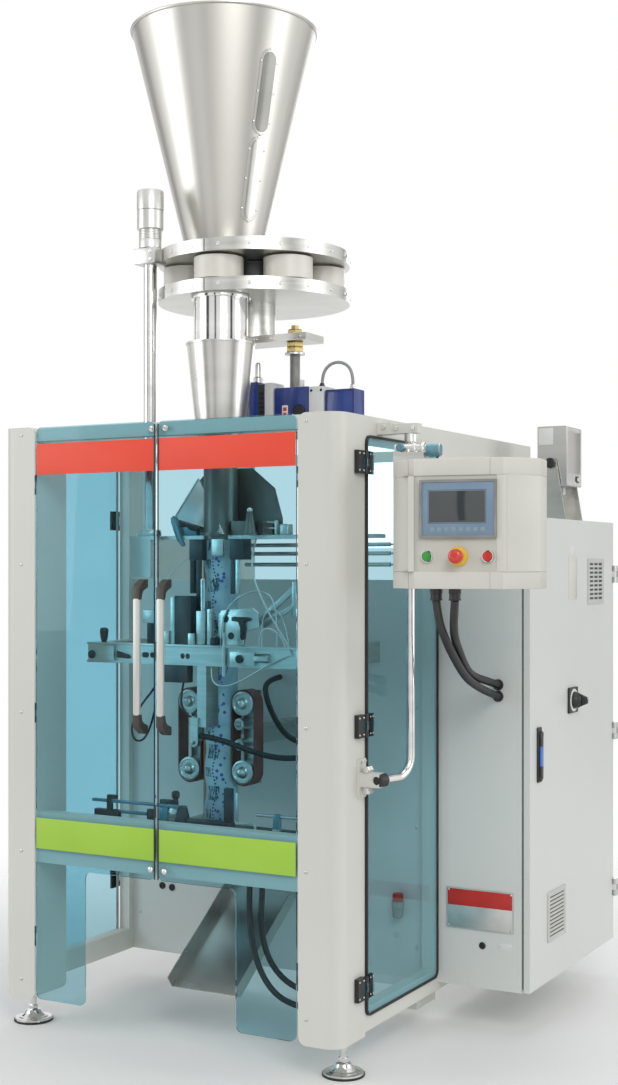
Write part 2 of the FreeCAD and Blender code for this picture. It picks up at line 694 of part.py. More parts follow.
tube_points = [
    (val("tube_x"), val("tube_y"), val("tube_top")),
    (val("tube_x"), val("tube_y"), val("tube_low")),
    run_point(146),
]
tube_bar = pipe("tube_pipe", tube_points, val("tube_r"), [val("tube_bend")])
end_x, end_y, end_z = run_point(148)
tube_cap = doc.addObject("Part::Cylinder", "tube_cap")
bind(tube_cap, "Height", "32")
bind(tube_cap, "Radius", "tube_r + 7")
tube_cap.Placement = FreeCAD.Placement(
    FreeCAD.Vector(end_x, end_y, end_z),
    FreeCAD.Rotation(
        FreeCAD.Vector(0, 0, 1), FreeCAD.Vector(math.sin(tube_lean), math.cos(tube_lean), 0),
    ),
)
node("support_tube", fuse("tube_all", [tube_bar, tube_cap]))
mid_x, mid_y, mid_z = run_point(132)
top_block = box(
    "bracket_top_block", "0.3", "46", "tube_y - 26", "tube_y + 10", "tube_top - 2", "tube_top + 32",
)
top_bar = box(
    "bracket_top_bar", "46", "tube_x + 28", "tube_y - 16", "tube_y + 16", "tube_top",
    "tube_top + 28",
)
low_plate = box(
    "bracket_low_plate", "0.3", "8", "post_d - 52", "post_d - 10", "tube_low - 52", "tube_low + 58",
)
low_block = box(
    "bracket_low_block", "8", "%g" % (mid_x + 4), "post_d - 48", "post_d - 12", "tube_low - 20",
    "tube_low + 20",
)
low_way = doc.addObject("Part::Cylinder", "bracket_low_way")
bind(low_way, "Height", "190")
bind(low_way, "Radius", "tube_r")
low_way.Placement = FreeCAD.Placement(
    FreeCAD.Vector(*run_point(200)),
    FreeCAD.Rotation(
        FreeCAD.Vector(0, 0, 1), FreeCAD.Vector(math.sin(tube_lean), math.cos(tube_lean), 0),
    ),
)
cap_way = doc.addObject("Part::Cylinder", "cap_way")
bind(cap_way, "Height", "32.6")
bind(cap_way, "Radius", "tube_r + 7")
cap_way.Placement = tube_cap.Placement
low_all = cut(
    "bracket_low_cut", fuse("bracket_low_all", [low_plate, low_block]),
    fuse("bracket_low_ways", [low_way, cap_way]),
)
node("tube_brackets", group("bracket_set", [fuse("bracket_top_all", [top_block, top_bar]), low_all]))

# Operator panel on a clamp that turns on the support tube.
clamp_ring = rod("clamp_ring", "z", "0", "0", "1745", "50", "tube_r + 14")
clamp_bore = rod("clamp_bore", "z", "0", "0", "1740", "60", "tube_r + 0.5")
clamp_arm = rod("clamp_arm", "x", "-36", "-26", "1780", "74", "21")
clamp_cap = rod("clamp_cap", "x", "38", "-26", "1780", "59", "19")
clamp_lug = box("clamp_lug", "-30", "60", "0 - panel_front + panel_d + 0.3", "-22", "1700", "1772")
clamp_all = cut(
    "clamp_part", fuse("clamp_solid", [clamp_ring, clamp_arm, clamp_cap, clamp_lug]), clamp_bore,
)
node("panel_clamp", clamp_all, "tube_x", "tube_y", "panel_turn")
housing = box(
    "panel_case", "panel_left", "panel_left + panel_w", "0 - panel_front",
    "0 - panel_front + panel_d", "panel_low", "panel_top",
)
bevel = round_edges(
    "panel_bevel", housing, 2, lambda m: m.y < -val("panel_front") + 1, val("panel_chamfer"),
    "Part::Chamfer",
)
cx = "(panel_left + panel_w / 2)"
bores = [
    rod("bore_start", "y", cx + " - 87", "0 - panel_front - 1", "buttons_z", "16", "11.5"),
    rod("bore_emergency", "y", cx, "0 - panel_front - 1", "buttons_z", "16", "11.5"),
    rod("bore_stop", "y", cx + " + 82", "0 - panel_front - 1", "buttons_z", "16", "11.5"),
]
panel_body = cut("panel_body", bevel, fuse("panel_bores", bores))
GLANDS = [(130, -198), (184, -203)]
glands = []
for i, (e, n) in enumerate(GLANDS):
    glands.append(rod("gland_%d" % i, "z", "%g" % e, "%g" % n, "panel_low - 32", "34", "conduit_r + 5"))
node("panel_housing", fuse("panel_all", [panel_body] + glands), "tube_x", "tube_y", "panel_turn")
screen = box(
    "screen_case", cx + " - screen_w / 2", cx + " + screen_w / 2", "0 - panel_front - 7",
    "0 - panel_front - 0.3", "screen_low", "screen_low + screen_h",
)
node("touch_screen", screen, "tube_x", "tube_y", "panel_turn")
ring_out = rod("ring_out", "y", cx, "0 - panel_front - 3", "buttons_z", "2.7", "27")
ring_in = rod("ring_in", "y", cx, "0 - panel_front - 4", "buttons_z", "5", "11.5")
node("emergency_ring", cut("ring_part", ring_out, ring_in), "tube_x", "tube_y", "panel_turn")
stop_hub = rod("stop_hub", "y", cx, "0 - panel_front - 30", "buttons_z", "38", "11")
stop_head = rod("stop_head", "y", cx, "0 - panel_front - 40", "buttons_z", "24", "20")
node("emergency_stop", fuse("stop_all", [stop_hub, stop_head]), "tube_x", "tube_y", "panel_turn")
green_b = rod("start_hub", "y", cx + " - 87", "0 - panel_front - 10", "buttons_z", "18", "11")
green_h = rod("start_head", "y", cx + " - 87", "0 - panel_front - 10", "buttons_z", "5", "13")
node("start_button", fuse("start_all", [green_b, green_h]), "tube_x", "tube_y", "panel_turn")
red_b = rod("halt_hub", "y", cx + " + 82", "0 - panel_front - 10", "buttons_z", "18", "11")
red_h = rod("halt_head", "y", cx + " + 82", "0 - panel_front - 10", "buttons_z", "5", "13")
node("stop_button", fuse("halt_all", [red_b, red_h]), "tube_x", "tube_y", "panel_turn")

# Doser column with its cap and the clamp that holds the upper turret plate.
col = rod(
    "col_bar", "z", "0 - column_x", "column_y", "column_low", "column_top - column_low - 10",
    "column_r",
)
collar = rod("col_collar", "z", "0 - column_x", "column_y", "disc_top + 2", "28", "36")
ribs = rod("col_ribs", "z", "0 - column_x", "column_y", "disc_top + 30", "32", "37")
cap = rod("col_cap", "z", "0 - column_x", "column_y", "disc_top + 62", "column_top - disc_top - 62", "43")
grip = box(
    "col_grip", "0 - column_x - 44", "0 - column_x + 40", "column_y - 34", "column_y + 34",
    "disc_top - 50", "disc_top + 2",
)
reach = box(
    "col_reach", "0 - column_x + 10", "0 - turret_x - 200", "column_y + 10", "column_y + 80",
    "disc_top - 38", "disc_top - 4",
)
disc_way = rod("col_disc_way", "z", "0 - turret_x", "turret_y", "disc_top - 60", "80", "disc_r")
hold = cut("col_hold", fuse("col_hold_all", [grip, reach]), disc_way)
node("doser_column", fuse("col_all", [col, collar, ribs, cap, hold]))

# Fixed turret plates with the shaft between them, and the cups that turn on it.
upper = rod("upper_disc", "z", "0 - turret_x", "turret_y", "disc_top - disc_t", "disc_t", "disc_r")
upper_hole = rod(
    "upper_hole", "z", "0 - hopper_x", "hopper_y", "disc_top - disc_t - 1", "disc_t + 2",
    "hopper_neck - 20",
)
shaft_keep = rod("shaft_keep", "z", "0 - turret_x", "turret_y", "disc_top - disc_t", "12", "shaft_r + 8")
node("turret_plate_upper", fuse("upper_all", [cut("upper_plate", upper, upper_hole), shaft_keep]))
lower = rod("lower_disc", "z", "0 - turret_x", "turret_y", "disc_low", "disc_t", "disc_r")
lower_hole = rod(
    "lower_hole", "z", "0 - drop_x", "drop_y", "disc_low - 1", "disc_t + 2", "cup_r - cup_wall",
)
shaft = rod(
    "turret_shaft", "z", "0 - turret_x", "turret_y", "disc_low + disc_t - 5",
    "disc_top - disc_low - 2 * disc_t + 5", "shaft_r",
)
node("turret_plate_lower", fuse("lower_all", [cut("lower_plate", lower, lower_hole), shaft]))

cups = []
for i in range(6):
    angle = 90 + 180 + 60 * i
    x = "(0 - turret_x + cup_circle * cos(%d))" % angle
    y = "(turret_y + cup_circle * sin(%d))" % angle
    outer = rod(
        "cup%d_out" % i, "z", x, y, "disc_low + disc_t + gap",
        "disc_top - disc_low - 2 * disc_t - 2 * gap", "cup_r",
    )
    inner = rod(
        "cup%d_in" % i, "z", x, y, "disc_low + disc_t", "disc_top - disc_low - 2 * disc_t",
        "cup_r - cup_wall",
    )
    cups.append(cut("cup%d" % i, outer, inner))
hub = rod(
    "cup_hub", "z", "0 - turret_x", "turret_y", "disc_low + disc_t + gap",
    "disc_top - disc_low - 2 * disc_t - 2 * gap", "cup_circle - cup_r + 3",
)
hub_way = rod(
    "cup_hub_way", "z", "0 - turret_x", "turret_y", "disc_low", "disc_top - disc_low",
    "shaft_r + 0.6",
)
node("measuring_cups", cut("cups_part", fuse("cups_all", cups + [hub]), hub_way))

# Hopper.
hopper_out = cone(
    "hopper_out", "0 - hopper_x", "hopper_y", "disc_top + 0.3", "hopper_top - disc_top - 0.3",
    "hopper_neck", "hopper_r",
)
hopper_in = cone(
    "hopper_in", "0 - hopper_x", "hopper_y", "disc_top + 0.3", "hopper_top - disc_top - 0.3",
    "hopper_neck - hopper_wall", "hopper_r - hopper_wall",
)
rim = doc.addObject("Part::Torus", "hopper_rim")
bind(rim, "Radius1", "hopper_r")
bind(rim, "Radius2", "5")
aim(rim, "z", "0 - hopper_x", "hopper_y", "hopper_top - 5")
node("hopper", fuse("hopper_all", [cut("hopper_shell", hopper_out, hopper_in), rim]))

# Drop tube and funnel above the forming tube.
drop_out = rod("drop_out", "z", "0 - drop_x", "drop_y", "drop_low", "disc_low - drop_low - 0.3", "drop_r")
drop_in = rod(
    "drop_in", "z", "0 - drop_x", "drop_y", "drop_low - 1", "disc_low - drop_low + 2", "drop_r - 3",
)
node("drop_tube", cut("drop_part", drop_out, drop_in))
fun_out = cone(
    "fun_out", "0 - drop_x", "drop_y", "funnel_low", "drop_low - funnel_low", "form_r + 28",
    "funnel_r",
)
fun_in = cone(
    "fun_in", "0 - drop_x", "drop_y", "funnel_low", "drop_low - funnel_low", "form_r + 25",
    "funnel_r - 3",
)
low_out = cone(
    "funlow_out", "0 - drop_x", "drop_y", "form_top", "funnel_low - form_top", "form_r",
    "form_r + 28",
)
low_in = cone(
    "funlow_in", "0 - drop_x", "drop_y", "form_top", "funnel_low - form_top", "neck_r",
    "form_r + 25",
)
funnel_solid = fuse("funnel_solid", [fun_out, low_out])
funnel_hollow = fuse("funnel_hollow", [fun_in, low_in])
node("feed_funnel", cut("funnel_part", funnel_solid, funnel_hollow))
form_out = rod("form_out", "z", "0 - drop_x", "drop_y", "form_low", "form_top - form_low - 0.3", "form_r")
form_in = rod("form_in", "z", "0 - drop_x", "drop_y", "form_low - 1", "form_top - form_low + 2", "neck_r")
node("forming_tube", cut("form_part", form_out, form_in))

# Bearing and its bracket under the turret, the adjusting screw and the drive boxes on the frame.
bearing = rod(
    "bearing", "z", "0 - turret_x", "turret_y", "disc_low - 112", "disc_low - (disc_low - 112)",
    "70",
)
bearing_plate = box(
    "bearing_plate", "0 - turret_x - 60", "0 - turret_x + 225", "turret_y - 60", "turret_y + 60",
    "disc_low - 133", "disc_low - 110",
)
node("turret_bearing", fuse("bearing_all", [bearing, bearing_plate]))
drive_top = "frame_h + 137"
node("adjusting_screw", fuse("screw_all", [
    rod(
        "screw_rod", "z", "0 - screw_x", "screw_y", drive_top, "disc_low - 133 - (%s)" % drive_top,
        "screw_r",
    ),
    rod("screw_nut", "z", "0 - screw_x", "screw_y", "disc_low - 168", "35", "screw_r * 2"),
]))
node(
    "top_platform",
    box(
        "platform", "0 - frame_w + wall_t", "0 - wall_t", "turret_y - 120", "turret_y + 140",
        "frame_h - 12", "frame_h",
    ),
)
DRIVES = [
    ("a", 589, 521, 161),
    ("b", 521, 489, 155),
    ("c", 487, 361, 137),
    ("d", 359, 304, 134),
    ("e", 302, 199, 122),
]
drives = []
for n, left, right, high in DRIVES:
    front = "drive_y - 4" if n in "bd" else "drive_y"
    end = "0 - %d" % right if n in "ae" else "0 - %d" % (right - 2)
    drives.append(box(
        "drive_" + n, "0 - %d" % left, end, front, "drive_y + drive_d", "frame_h",
        "frame_h + %d" % high,
    ))
plug = rod("drive_plug", "z", "0 - 222", "drive_y + 35", "frame_h + 120", "18", "9")
node("doser_drive", fuse("drive_all", drives + [plug]))

# Forming set: plate with the column shelf, shoulder, seal arm, belts, jaws and chute.
form_plate = box(
    "form_plate", "0 - column_x - 60", "0 - wall_t", "drop_y - 30", "drop_y + 30", "plate_z",
    "plate_z + plate_t",
)
shelf = box(
    "form_shelf", "0 - column_x - 60", "0 - column_x + 40", "column_y - 30", "drop_y", "plate_z",
    "column_low",
)
shelf_block = box(
    "form_block", "0 - column_x - 60", "0 - column_x + 18", "column_y - 24", "column_y + 24",
    "plate_z - 120", "plate_z",
)
form_hole = rod("form_hole", "z", "0 - drop_x", "drop_y", "plate_z - 1", "plate_t + 2", "form_r")
node(
    "forming_plate",
    cut("form_plate_part", fuse("form_plate_all", [form_plate, shelf, shelf_block]), form_hole),
)


def flat(name, corners, push):
    """A thin sheet from its corners, given as distances from the tube axis and the plate."""
    tube = FreeCAD.Vector(-val("drop_x"), val("drop_y"), val("plate_z") + val("plate_t"))
    points = [tube + FreeCAD.Vector(*c) for c in corners]
    obj = doc.addObject("Part::Feature", name)
    obj.Shape = Part.Face(Part.makePolygon(points + [points[0]])).extrude(FreeCAD.Vector(*push))
    return obj


shoulder_back = flat(
    "shoulder_back",
    [
        (-204, 60, 0), (-204, 60, 61), (-115, 60, 183), (-84, 60, 214), (80, 60, 214),
        (162, 60, 149), (190, 60, 53), (190, 60, 0),
    ],
    (0, 3, 0),
)
wing_left = flat("wing_left", [(-204, 60, 61), (-115, 60, 183), (50, -57, 4)], (2, 2, 1.5))
shoulder_base = box(
    "shoulder_base", "0 - drop_x + form_r + 2", "0 - drop_x + 172", "drop_y - 28", "drop_y + 28",
    "plate_z + plate_t", "plate_z + plate_t + 44",
)
collar_out = rod(
    "shoulder_ring_out", "z", "0 - drop_x", "drop_y", "plate_z + plate_t", "9", "form_r + 12",
)
collar_in = rod("shoulder_ring_in", "z", "0 - drop_x", "drop_y", "plate_z", "40", "form_r")
tube_way = rod(
    "shoulder_way", "z", "0 - drop_x", "drop_y", "plate_z", "form_top - plate_z", "form_r + 0.2",
)
shoulder_knob = cone(
    "shoulder_knob", "0 - drop_x + 138", "drop_y - 52", "plate_z + plate_t + 9", "62", "20", "9",
)
knob_rest = rod(
    "shoulder_knob_rest", "z", "0 - drop_x + 138", "drop_y - 52", "plate_z + plate_t", "10", "24",
)
shoulder = cut("shoulder_cut", fuse("shoulder_sheets", [shoulder_back, wing_left]), tube_way)
node("forming_shoulder", group("shoulder_set", [
    fuse("shoulder_all", [shoulder, cut("shoulder_ring", collar_out, collar_in)]),
    fuse("shoulder_rest", [shoulder_base, shoulder_knob, knob_rest]),
]))
arm = box("arm_beam", "180 - frame_w", "-200", "210", "250", "arm_low", "arm_top")
arm_left = box("arm_left", "180 - frame_w", "230 - frame_w", "250", "inner_y", "arm_low", "arm_top")
arm_right = box("arm_right", "-240", "-200", "250", "inner_y", "arm_low", "arm_top")
bar = box("seal_bar", "-607", "-574", "214", "drop_y - form_r - 2", "arm_low - 189", "arm_low")
bar_block = box("seal_block", "-627", "-600", "206", "234", "arm_low - 232", "arm_low - 160")
node("seal_arm", fuse("arm_all", [arm, arm_left, arm_right, bar, bar_block]))
sleeve_out = rod(
    "sleeve_out", "z", "0 - drop_x", "drop_y", "form_low - 10", "plate_z - form_low + 8",
    "form_r + 0.8",
)
sleeve_in = rod(
    "sleeve_in", "z", "0 - drop_x", "drop_y", "form_low - 11", "plate_z - form_low + 12",
    "form_r + 0.3",
)
node("film_sleeve", cut("sleeve_part", sleeve_out, sleeve_in))


BELT_WHEELS = [("a", 1021), ("b", 807)]


def loop(label, x, y0, y1, radius, thick):
    """A belt round the two wheels of a unit."""
    outer = []
    inner = []
    for n, z in BELT_WHEELS:
        outer.append(rod(
            "%s_out_%s" % (label, n), "y", x, y0, "%g" % z, "(%s) - (%s)" % (y1, y0),
            "%s + %s" % (radius, thick),
        ))
        inner.append(rod(
            "%s_in_%s" % (label, n), "y", x, "(%s) - 1" % y0, "%g" % z,
            "(%s) - (%s) + 2" % (y1, y0), radius,
        ))
    z0 = "%g" % BELT_WHEELS[1][1]
    z1 = "%g" % BELT_WHEELS[0][1]
    outer.append(box(
        label + "_out_mid", "%s - %s - %s" % (x, radius, thick),
        "%s + %s + %s" % (x, radius, thick), y0, y1, z0, z1,
    ))
    inner.append(box(
        label + "_in_mid", "%s - %s" % (x, radius), "%s + %s" % (x, radius), "(%s) - 1" % y0,
        "(%s) + 1" % y1, z0, z1,
    ))
    return cut(label + "_ring", fuse(label + "_outer", outer), fuse(label + "_inner", inner))


def belt_unit(label, x, side):
    back = box(
        label + "_plate", "%s - 30" % x, "%s + 30" % x, "drop_y + 28", "drop_y + 38", "770", "1060",
    )
    rail = box(label + "_rail", "%s - 20" % x, "%s + 20" % x, "drop_y + 38", "inner_y", "890", "950")
    wheels = []
    for n, z in BELT_WHEELS:
        wheels.append(rod("%s_wheel_%s" % (label, n), "y", x, "drop_y - 30", "%g" % z, "58", "wheel_r"))
        wheels.append(rod("%s_boss_%s" % (label, n), "y", x, "drop_y - 44", "%g" % z, "15", "12"))
    for n, z in (("c", 956), ("d", 892)):
        wheels.append(rod(
            "%s_idler_%s" % (label, n), "y", "%s - %d * 14" % (x, side), "drop_y - 26", "%g" % z,
            "54", "18",
        ))
    node(label, fuse(label + "_all", [back, rail] + wheels))
    return loop(label + "_loop", x, "drop_y - 28", "drop_y + 24", "(wheel_r + 0.3)", "belt_t")


wheel_out = "form_r + 1.2 + wheel_r + 0.3 + belt_t"
belt_l = belt_unit("belt_unit_left", "(0 - drop_x - (%s))" % wheel_out, -1)
belt_r = belt_unit("belt_unit_right", "(0 - drop_x + (%s))" % wheel_out, 1)
node("pull_belts", group("belt_pair", [belt_l, belt_r]))

# Cross sealing jaws on their guide rods.
def jaw(label, y0, y1, bar_y):
    low, high = "jaw_z - 30", "jaw_z + 30"
    body = box(label + "_bar", "0 - drop_x - 150", "0 - drop_x + 150", y0, y1, low, high)
    yoke = box(
        label + "_yoke", "0 - drop_x - guide_x - 30", "0 - drop_x + guide_x + 30", bar_y,
        "%s + 30" % bar_y, "jaw_z - 25", "jaw_z + 25",
    )
    bores = []
    for n, x in (("l", "0 - drop_x - guide_x"), ("r", "0 - drop_x + guide_x")):
        bores.append(rod(
            "%s_bore_%s" % (label, n), "y", x, "%s - 1" % bar_y, "jaw_z", "32", "guide_r + 0.6",
        ))
    node(label, cut(label + "_part", fuse(label + "_all", [body, yoke]), fuse(label + "_bores", bores)))


jaw("seal_jaw_front", "drop_y - jaw_gap - 66", "drop_y - jaw_gap", "drop_y - jaw_gap - 86")
jaw("seal_jaw_rear", "drop_y + jaw_gap", "drop_y + jaw_gap + 66", "drop_y + jaw_gap + 56")
tie = box(
    "guide_tie", "0 - drop_x - guide_x - 30", "0 - drop_x + guide_x + 30", "guide_front",
    "guide_front + 20", "jaw_z - 15", "jaw_z + 15",
)
guides = [tie]
for n, x in (("l", "0 - drop_x - guide_x"), ("r", "0 - drop_x + guide_x")):
    guides.append(rod(
        "guide_" + n, "y", x, "guide_front + 10", "jaw_z", "inner_y - guide_front - 10", "guide_r",
    ))
node("jaw_guides", fuse("guide_all", guides))

# Discharge chute: a bent sheet with two sides, welded to a plate on the inner wall.
chute_left = "0 - drop_x - 60"
slope = doc.addObject("Part::Box", "chute_floor")
bind(slope, "Length", "chute_w")
bind(slope, "Width", "(inner_y - chute_y) / cos(chute_turn)")
bind(slope, "Height", "3")
sides = [slope]
for n, x in (("a", "0"), ("b", "chute_w - 3")):
    side = doc.addObject("Part::Box", "chute_side_" + n)
    bind(side, "Length", "3")
    bind(side, "Width", "(inner_y - chute_y) / cos(chute_turn)")
    bind(side, "Height", "40")
    bind(side, "Placement.Base.x", x)
    sides.append(side)
chute = fuse("chute_slope", sides)
chute.Placement = FreeCAD.Placement(
    FreeCAD.Vector(0, 0, 0), FreeCAD.Rotation(FreeCAD.Vector(1, 0, 0), val("chute_turn"))
)
bind(chute, "Placement.Base.x", chute_left)
bind(chute, "Placement.Base.y", "chute_y")
bind(chute, "Placement.Base.z", "chute_z")
chute_end = "(chute_z + (inner_y - chute_y) * tan(chute_turn))"
flange = box(
    "chute_flange", chute_left, "%s + chute_w" % chute_left, "inner_y - 4", "inner_y",
    chute_end + " - 10", chute_end + " + 50",
)
node("discharge_chute", fuse("chute_all", [chute, flange]))


def beyond(point, face, radius):
    """A block outside the face that a cord's end stands on."""
    wide = radius * 4
    low = [c - wide / 2 for c in point]
    axis = "xyz".index(face[1])
    low[axis] = point[axis] if face[0] == "+" else point[axis] - wide
    return Part.makeBox(wide, wide, wide, FreeCAD.Vector(*low))


# Conduits, cables and hoses, each a round bar along its route, its ends cut flush with their faces.
def cord(label, points, radius, first="", last=""):
    bends = []
    runs = []
    for i in range(len(points) - 1):
        runs.append((FreeCAD.Vector(*points[i + 1]) - FreeCAD.Vector(*points[i])).Length)
    for i in range(1, len(points) - 1):
        a = FreeCAD.Vector(*points[i]) - FreeCAD.Vector(*points[i - 1])
        b = FreeCAD.Vector(*points[i + 1]) - FreeCAD.Vector(*points[i])
        bends.append(0.45 * min(runs[i - 1], runs[i]) / math.tan(a.getAngle(b) / 2))
    route = [FreeCAD.Vector(*p) for p in points]
    if first:
        route[0] = route[0] + (route[0] - route[1]).normalize() * radius
    if last:
        route[-1] = route[-1] + (route[-1] - route[-2]).normalize() * radius
    solid = pipe(label + "_bar", [tuple(p) for p in route], radius, bends)
    shape = solid.Shape
    for point, face in ((points[0], first), (points[-1], last)):
        if face:
            shape = shape.cut(beyond(point, face, radius))
    solid.Shape = shape
    area = math.pi * radius * radius
    print(label, "runs", [round(r) for r in runs], "bends", [round(r) for r in bends])
    print(
        label, "volume over section", round(solid.Shape.Volume / area), "length of the runs",
        round(sum(runs)),
    )
    node(label, solid)


turn = math.radians(val("panel_turn"))


def on_panel(e, n, z):
    """A point given along and across the operator panel."""
    x = val("tube_x") + e * math.cos(turn) - n * math.sin(turn)
    y = val("tube_y") + e * math.sin(turn) + n * math.cos(turn)
    return (x, y, z)


gland_end = val("panel_low") - 32
ax, ay, az = on_panel(GLANDS[0][0], GLANDS[0][1], gland_end)
bx, by, bz = on_panel(GLANDS[1][0], GLANDS[1][1], gland_end)
cab_front = val("cab_y")
cord("panel_conduit_left", [
    (ax, ay, az), (ax + 4, ay + 7, az - 56), (ax + 11, ay + 36, az - 108), (ax + 11, ay + 81, az - 149),
    (ax - 1, ay + 175, az - 203), (ax - 18, ay + 276, az - 241), (213, cab_front - 109, az - 287),
    (206, cab_front, az - 308),
], val("conduit_r"), "+z", "+y")
cord("panel_conduit_right", [
    (bx, by, bz), (bx - 10, by + 14, bz - 55), (bx - 24, by + 50, bz - 100), (bx - 42, by + 119, bz - 138),
    (bx - 75, by + 248, bz - 199), (bx - 94, by + 349, bz - 232), (207, cab_front - 92, bz - 255),
    (206, cab_front, bz - 272),
], val("conduit_r"), "+z", "+y")
box_top = val("frame_h") + 134
plug_top = val("frame_h") + 138
arc_low = plug_top + 40.5
arc_top = arc_low + 32
arc_y = val("drive_y") + 35
cord("drive_cable", [
    (-332, arc_y, box_top), (-332, arc_y, arc_low), (-299.8, arc_y, arc_top),
    (-254.2, arc_y, arc_top), (-222, arc_y, arc_low), (-222, arc_y, plug_top),
], 5)
wall = val("inner_y")
arm_z = val("arm_low")
cord("belt_hose_front", [
    (-600, 220, arm_z - 216), (-536, 230, arm_z - 224), (-460, 258, arm_z - 254), (-396, 320, arm_z - 284),
    (-352, 420, arm_z - 293), (-328, 540, arm_z - 287), (-318, wall, arm_z - 290),
], val("hose_r"), "-x", "+y")
cord("belt_hose_rear", [
    (-566, wall, arm_z - 61), (-562, 570, arm_z - 66), (-530, 490, arm_z - 94), (-470, 440, arm_z - 166),
    (-410, 430, arm_z - 234), (-352, 470, arm_z - 256), (-314, 566, arm_z - 238), (-300, wall, arm_z - 212),
], val("hose_r"), "+y", "+y")
tie_low = val("jaw_z") - 15
sill_mid = (val("sill_low") + val("sill_top")) / 2
inside = -val("wall_t")
cord("loop_hose_left", [
    (-386, 171, tie_low), (-392, 168, 478), (-388, 166, 368), (-366, 168, 262), (-314, 172, 182),
    (-240, 178, sill_mid + 3), (-136, 181, sill_mid), (inside, 182, sill_mid + 2),
], val("hose_r"), "+z", "+x")
cord("loop_hose_right", [
    (-345, 171, tie_low), (-351, 177, 478), (-366, 190, 372), (-350, 200, 280), (-300, 206, 216),
    (-226, 210, 186), (-130, 212, sill_mid + 14), (inside, 212, sill_mid + 12),
], val("hose_r"), "+z", "+x")

doc.recompute()
problems = []
for obj in doc.Objects:
    if "Invalid" in obj.State or "Error" in obj.State:
        problems.append(obj.Name)
for obj in finished:
    if obj.Shape.isNull() or not obj.Shape.isValid():
        problems.append(obj.Label + " shape")
if problems:
    raise RuntimeError("not valid: " + ", ".join(problems))

os.makedirs("parts", exist_ok=True)
for obj in finished:
    obj.Shape.exportStep("parts/%s.step" % obj.Label)
    b = obj.Shape.BoundBox
    print(
        obj.Label, round(obj.Shape.Volume / 1e6, 3),
        [round(v) for v in (b.XMin, b.XMax, b.YMin, b.YMax, b.ZMin, b.ZMax)],
    )
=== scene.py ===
import math
import bmesh
import bpy
from mathutils import Matrix, Vector


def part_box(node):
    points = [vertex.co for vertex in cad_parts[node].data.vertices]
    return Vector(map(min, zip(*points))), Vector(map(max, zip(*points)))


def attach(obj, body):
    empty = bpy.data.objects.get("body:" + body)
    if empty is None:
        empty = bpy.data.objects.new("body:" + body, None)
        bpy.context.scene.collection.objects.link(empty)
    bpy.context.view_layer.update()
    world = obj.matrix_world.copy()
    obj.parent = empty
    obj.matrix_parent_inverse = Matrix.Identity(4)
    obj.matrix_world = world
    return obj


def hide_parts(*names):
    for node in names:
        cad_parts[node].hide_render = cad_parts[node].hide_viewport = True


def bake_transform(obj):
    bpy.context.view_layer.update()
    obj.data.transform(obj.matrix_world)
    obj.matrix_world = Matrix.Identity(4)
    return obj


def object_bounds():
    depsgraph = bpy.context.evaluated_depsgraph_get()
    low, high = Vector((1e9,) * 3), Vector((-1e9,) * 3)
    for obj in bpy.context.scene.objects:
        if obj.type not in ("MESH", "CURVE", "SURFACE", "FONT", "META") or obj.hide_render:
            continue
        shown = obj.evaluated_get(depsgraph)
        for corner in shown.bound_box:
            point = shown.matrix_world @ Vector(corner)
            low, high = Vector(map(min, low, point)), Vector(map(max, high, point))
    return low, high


# Vertical form fill seal machine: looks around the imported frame, in metres.
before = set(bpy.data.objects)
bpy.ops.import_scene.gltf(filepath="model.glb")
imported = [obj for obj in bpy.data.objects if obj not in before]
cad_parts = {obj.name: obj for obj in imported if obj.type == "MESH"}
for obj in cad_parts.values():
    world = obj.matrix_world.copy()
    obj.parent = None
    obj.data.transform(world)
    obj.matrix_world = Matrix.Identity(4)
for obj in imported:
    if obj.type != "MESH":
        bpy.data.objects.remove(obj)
CAD_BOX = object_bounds()

# Machine millimetres: X = 0 at the right side face, Y = 0 at the front faces of the posts.
RIGHT_LO, RIGHT_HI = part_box("side_frame_right")
X0, Y0 = RIGHT_HI[0], RIGHT_LO[1]
FRAME_W, FRAME_D, FRAME_H, INNER_WALL, CAB_FRONT = 1200, 1486, 1880, 655, 664


def at(x, y, z):
    """Machine millimetres to metres in the frame."""
    return Vector((X0 + x / 1000, Y0 + y / 1000, z / 1000))


# ---- materials
def nodes_of(name):
    material = bpy.data.materials.new(name)
    material.use_nodes = True
    tree = material.node_tree
    shader = tree.nodes["Principled BSDF"]
    return material, tree, shader


def join(tree, source, output, target, slot):
    tree.links.new(source.outputs[output], target.inputs[slot])


def add(tree, kind, **inputs):
    node = tree.nodes.new(kind)
    for key, value in inputs.items():
        node.inputs[key.replace("_", " ")].default_value = value
    return node


def figure(tree, operation, *values):
    """A sum worked out from numbers and sockets."""
    node = tree.nodes.new("ShaderNodeMath")
    node.operation = operation
    for socket, value in zip(node.inputs, values):
        if isinstance(value, (int, float)):
            socket.default_value = value
        else:
            tree.links.new(value, socket)
    return node.outputs["Value"]


def mixed(tree, factor, first, second, output="Material Output"):
    """One shader giving way to another where the factor is 1, as what the tree puts out."""
    mix = tree.nodes.new("ShaderNodeMixShader")
    tree.links.new(factor, mix.inputs["Fac"])
    tree.links.new(first.outputs[0], mix.inputs[1])
    tree.links.new(second.outputs[0], mix.inputs[2])
    join(tree, mix, "Shader", tree.nodes[output], "Surface")


def coords(tree, stretch=(1, 1, 1)):
    source = tree.nodes.new("ShaderNodeTexCoord")
    mapping = tree.nodes.new("ShaderNodeMapping")
    mapping.inputs["Scale"].default_value = stretch
    join(tree, source, "Object", mapping, "Vector")
    return mapping.outputs["Vector"]


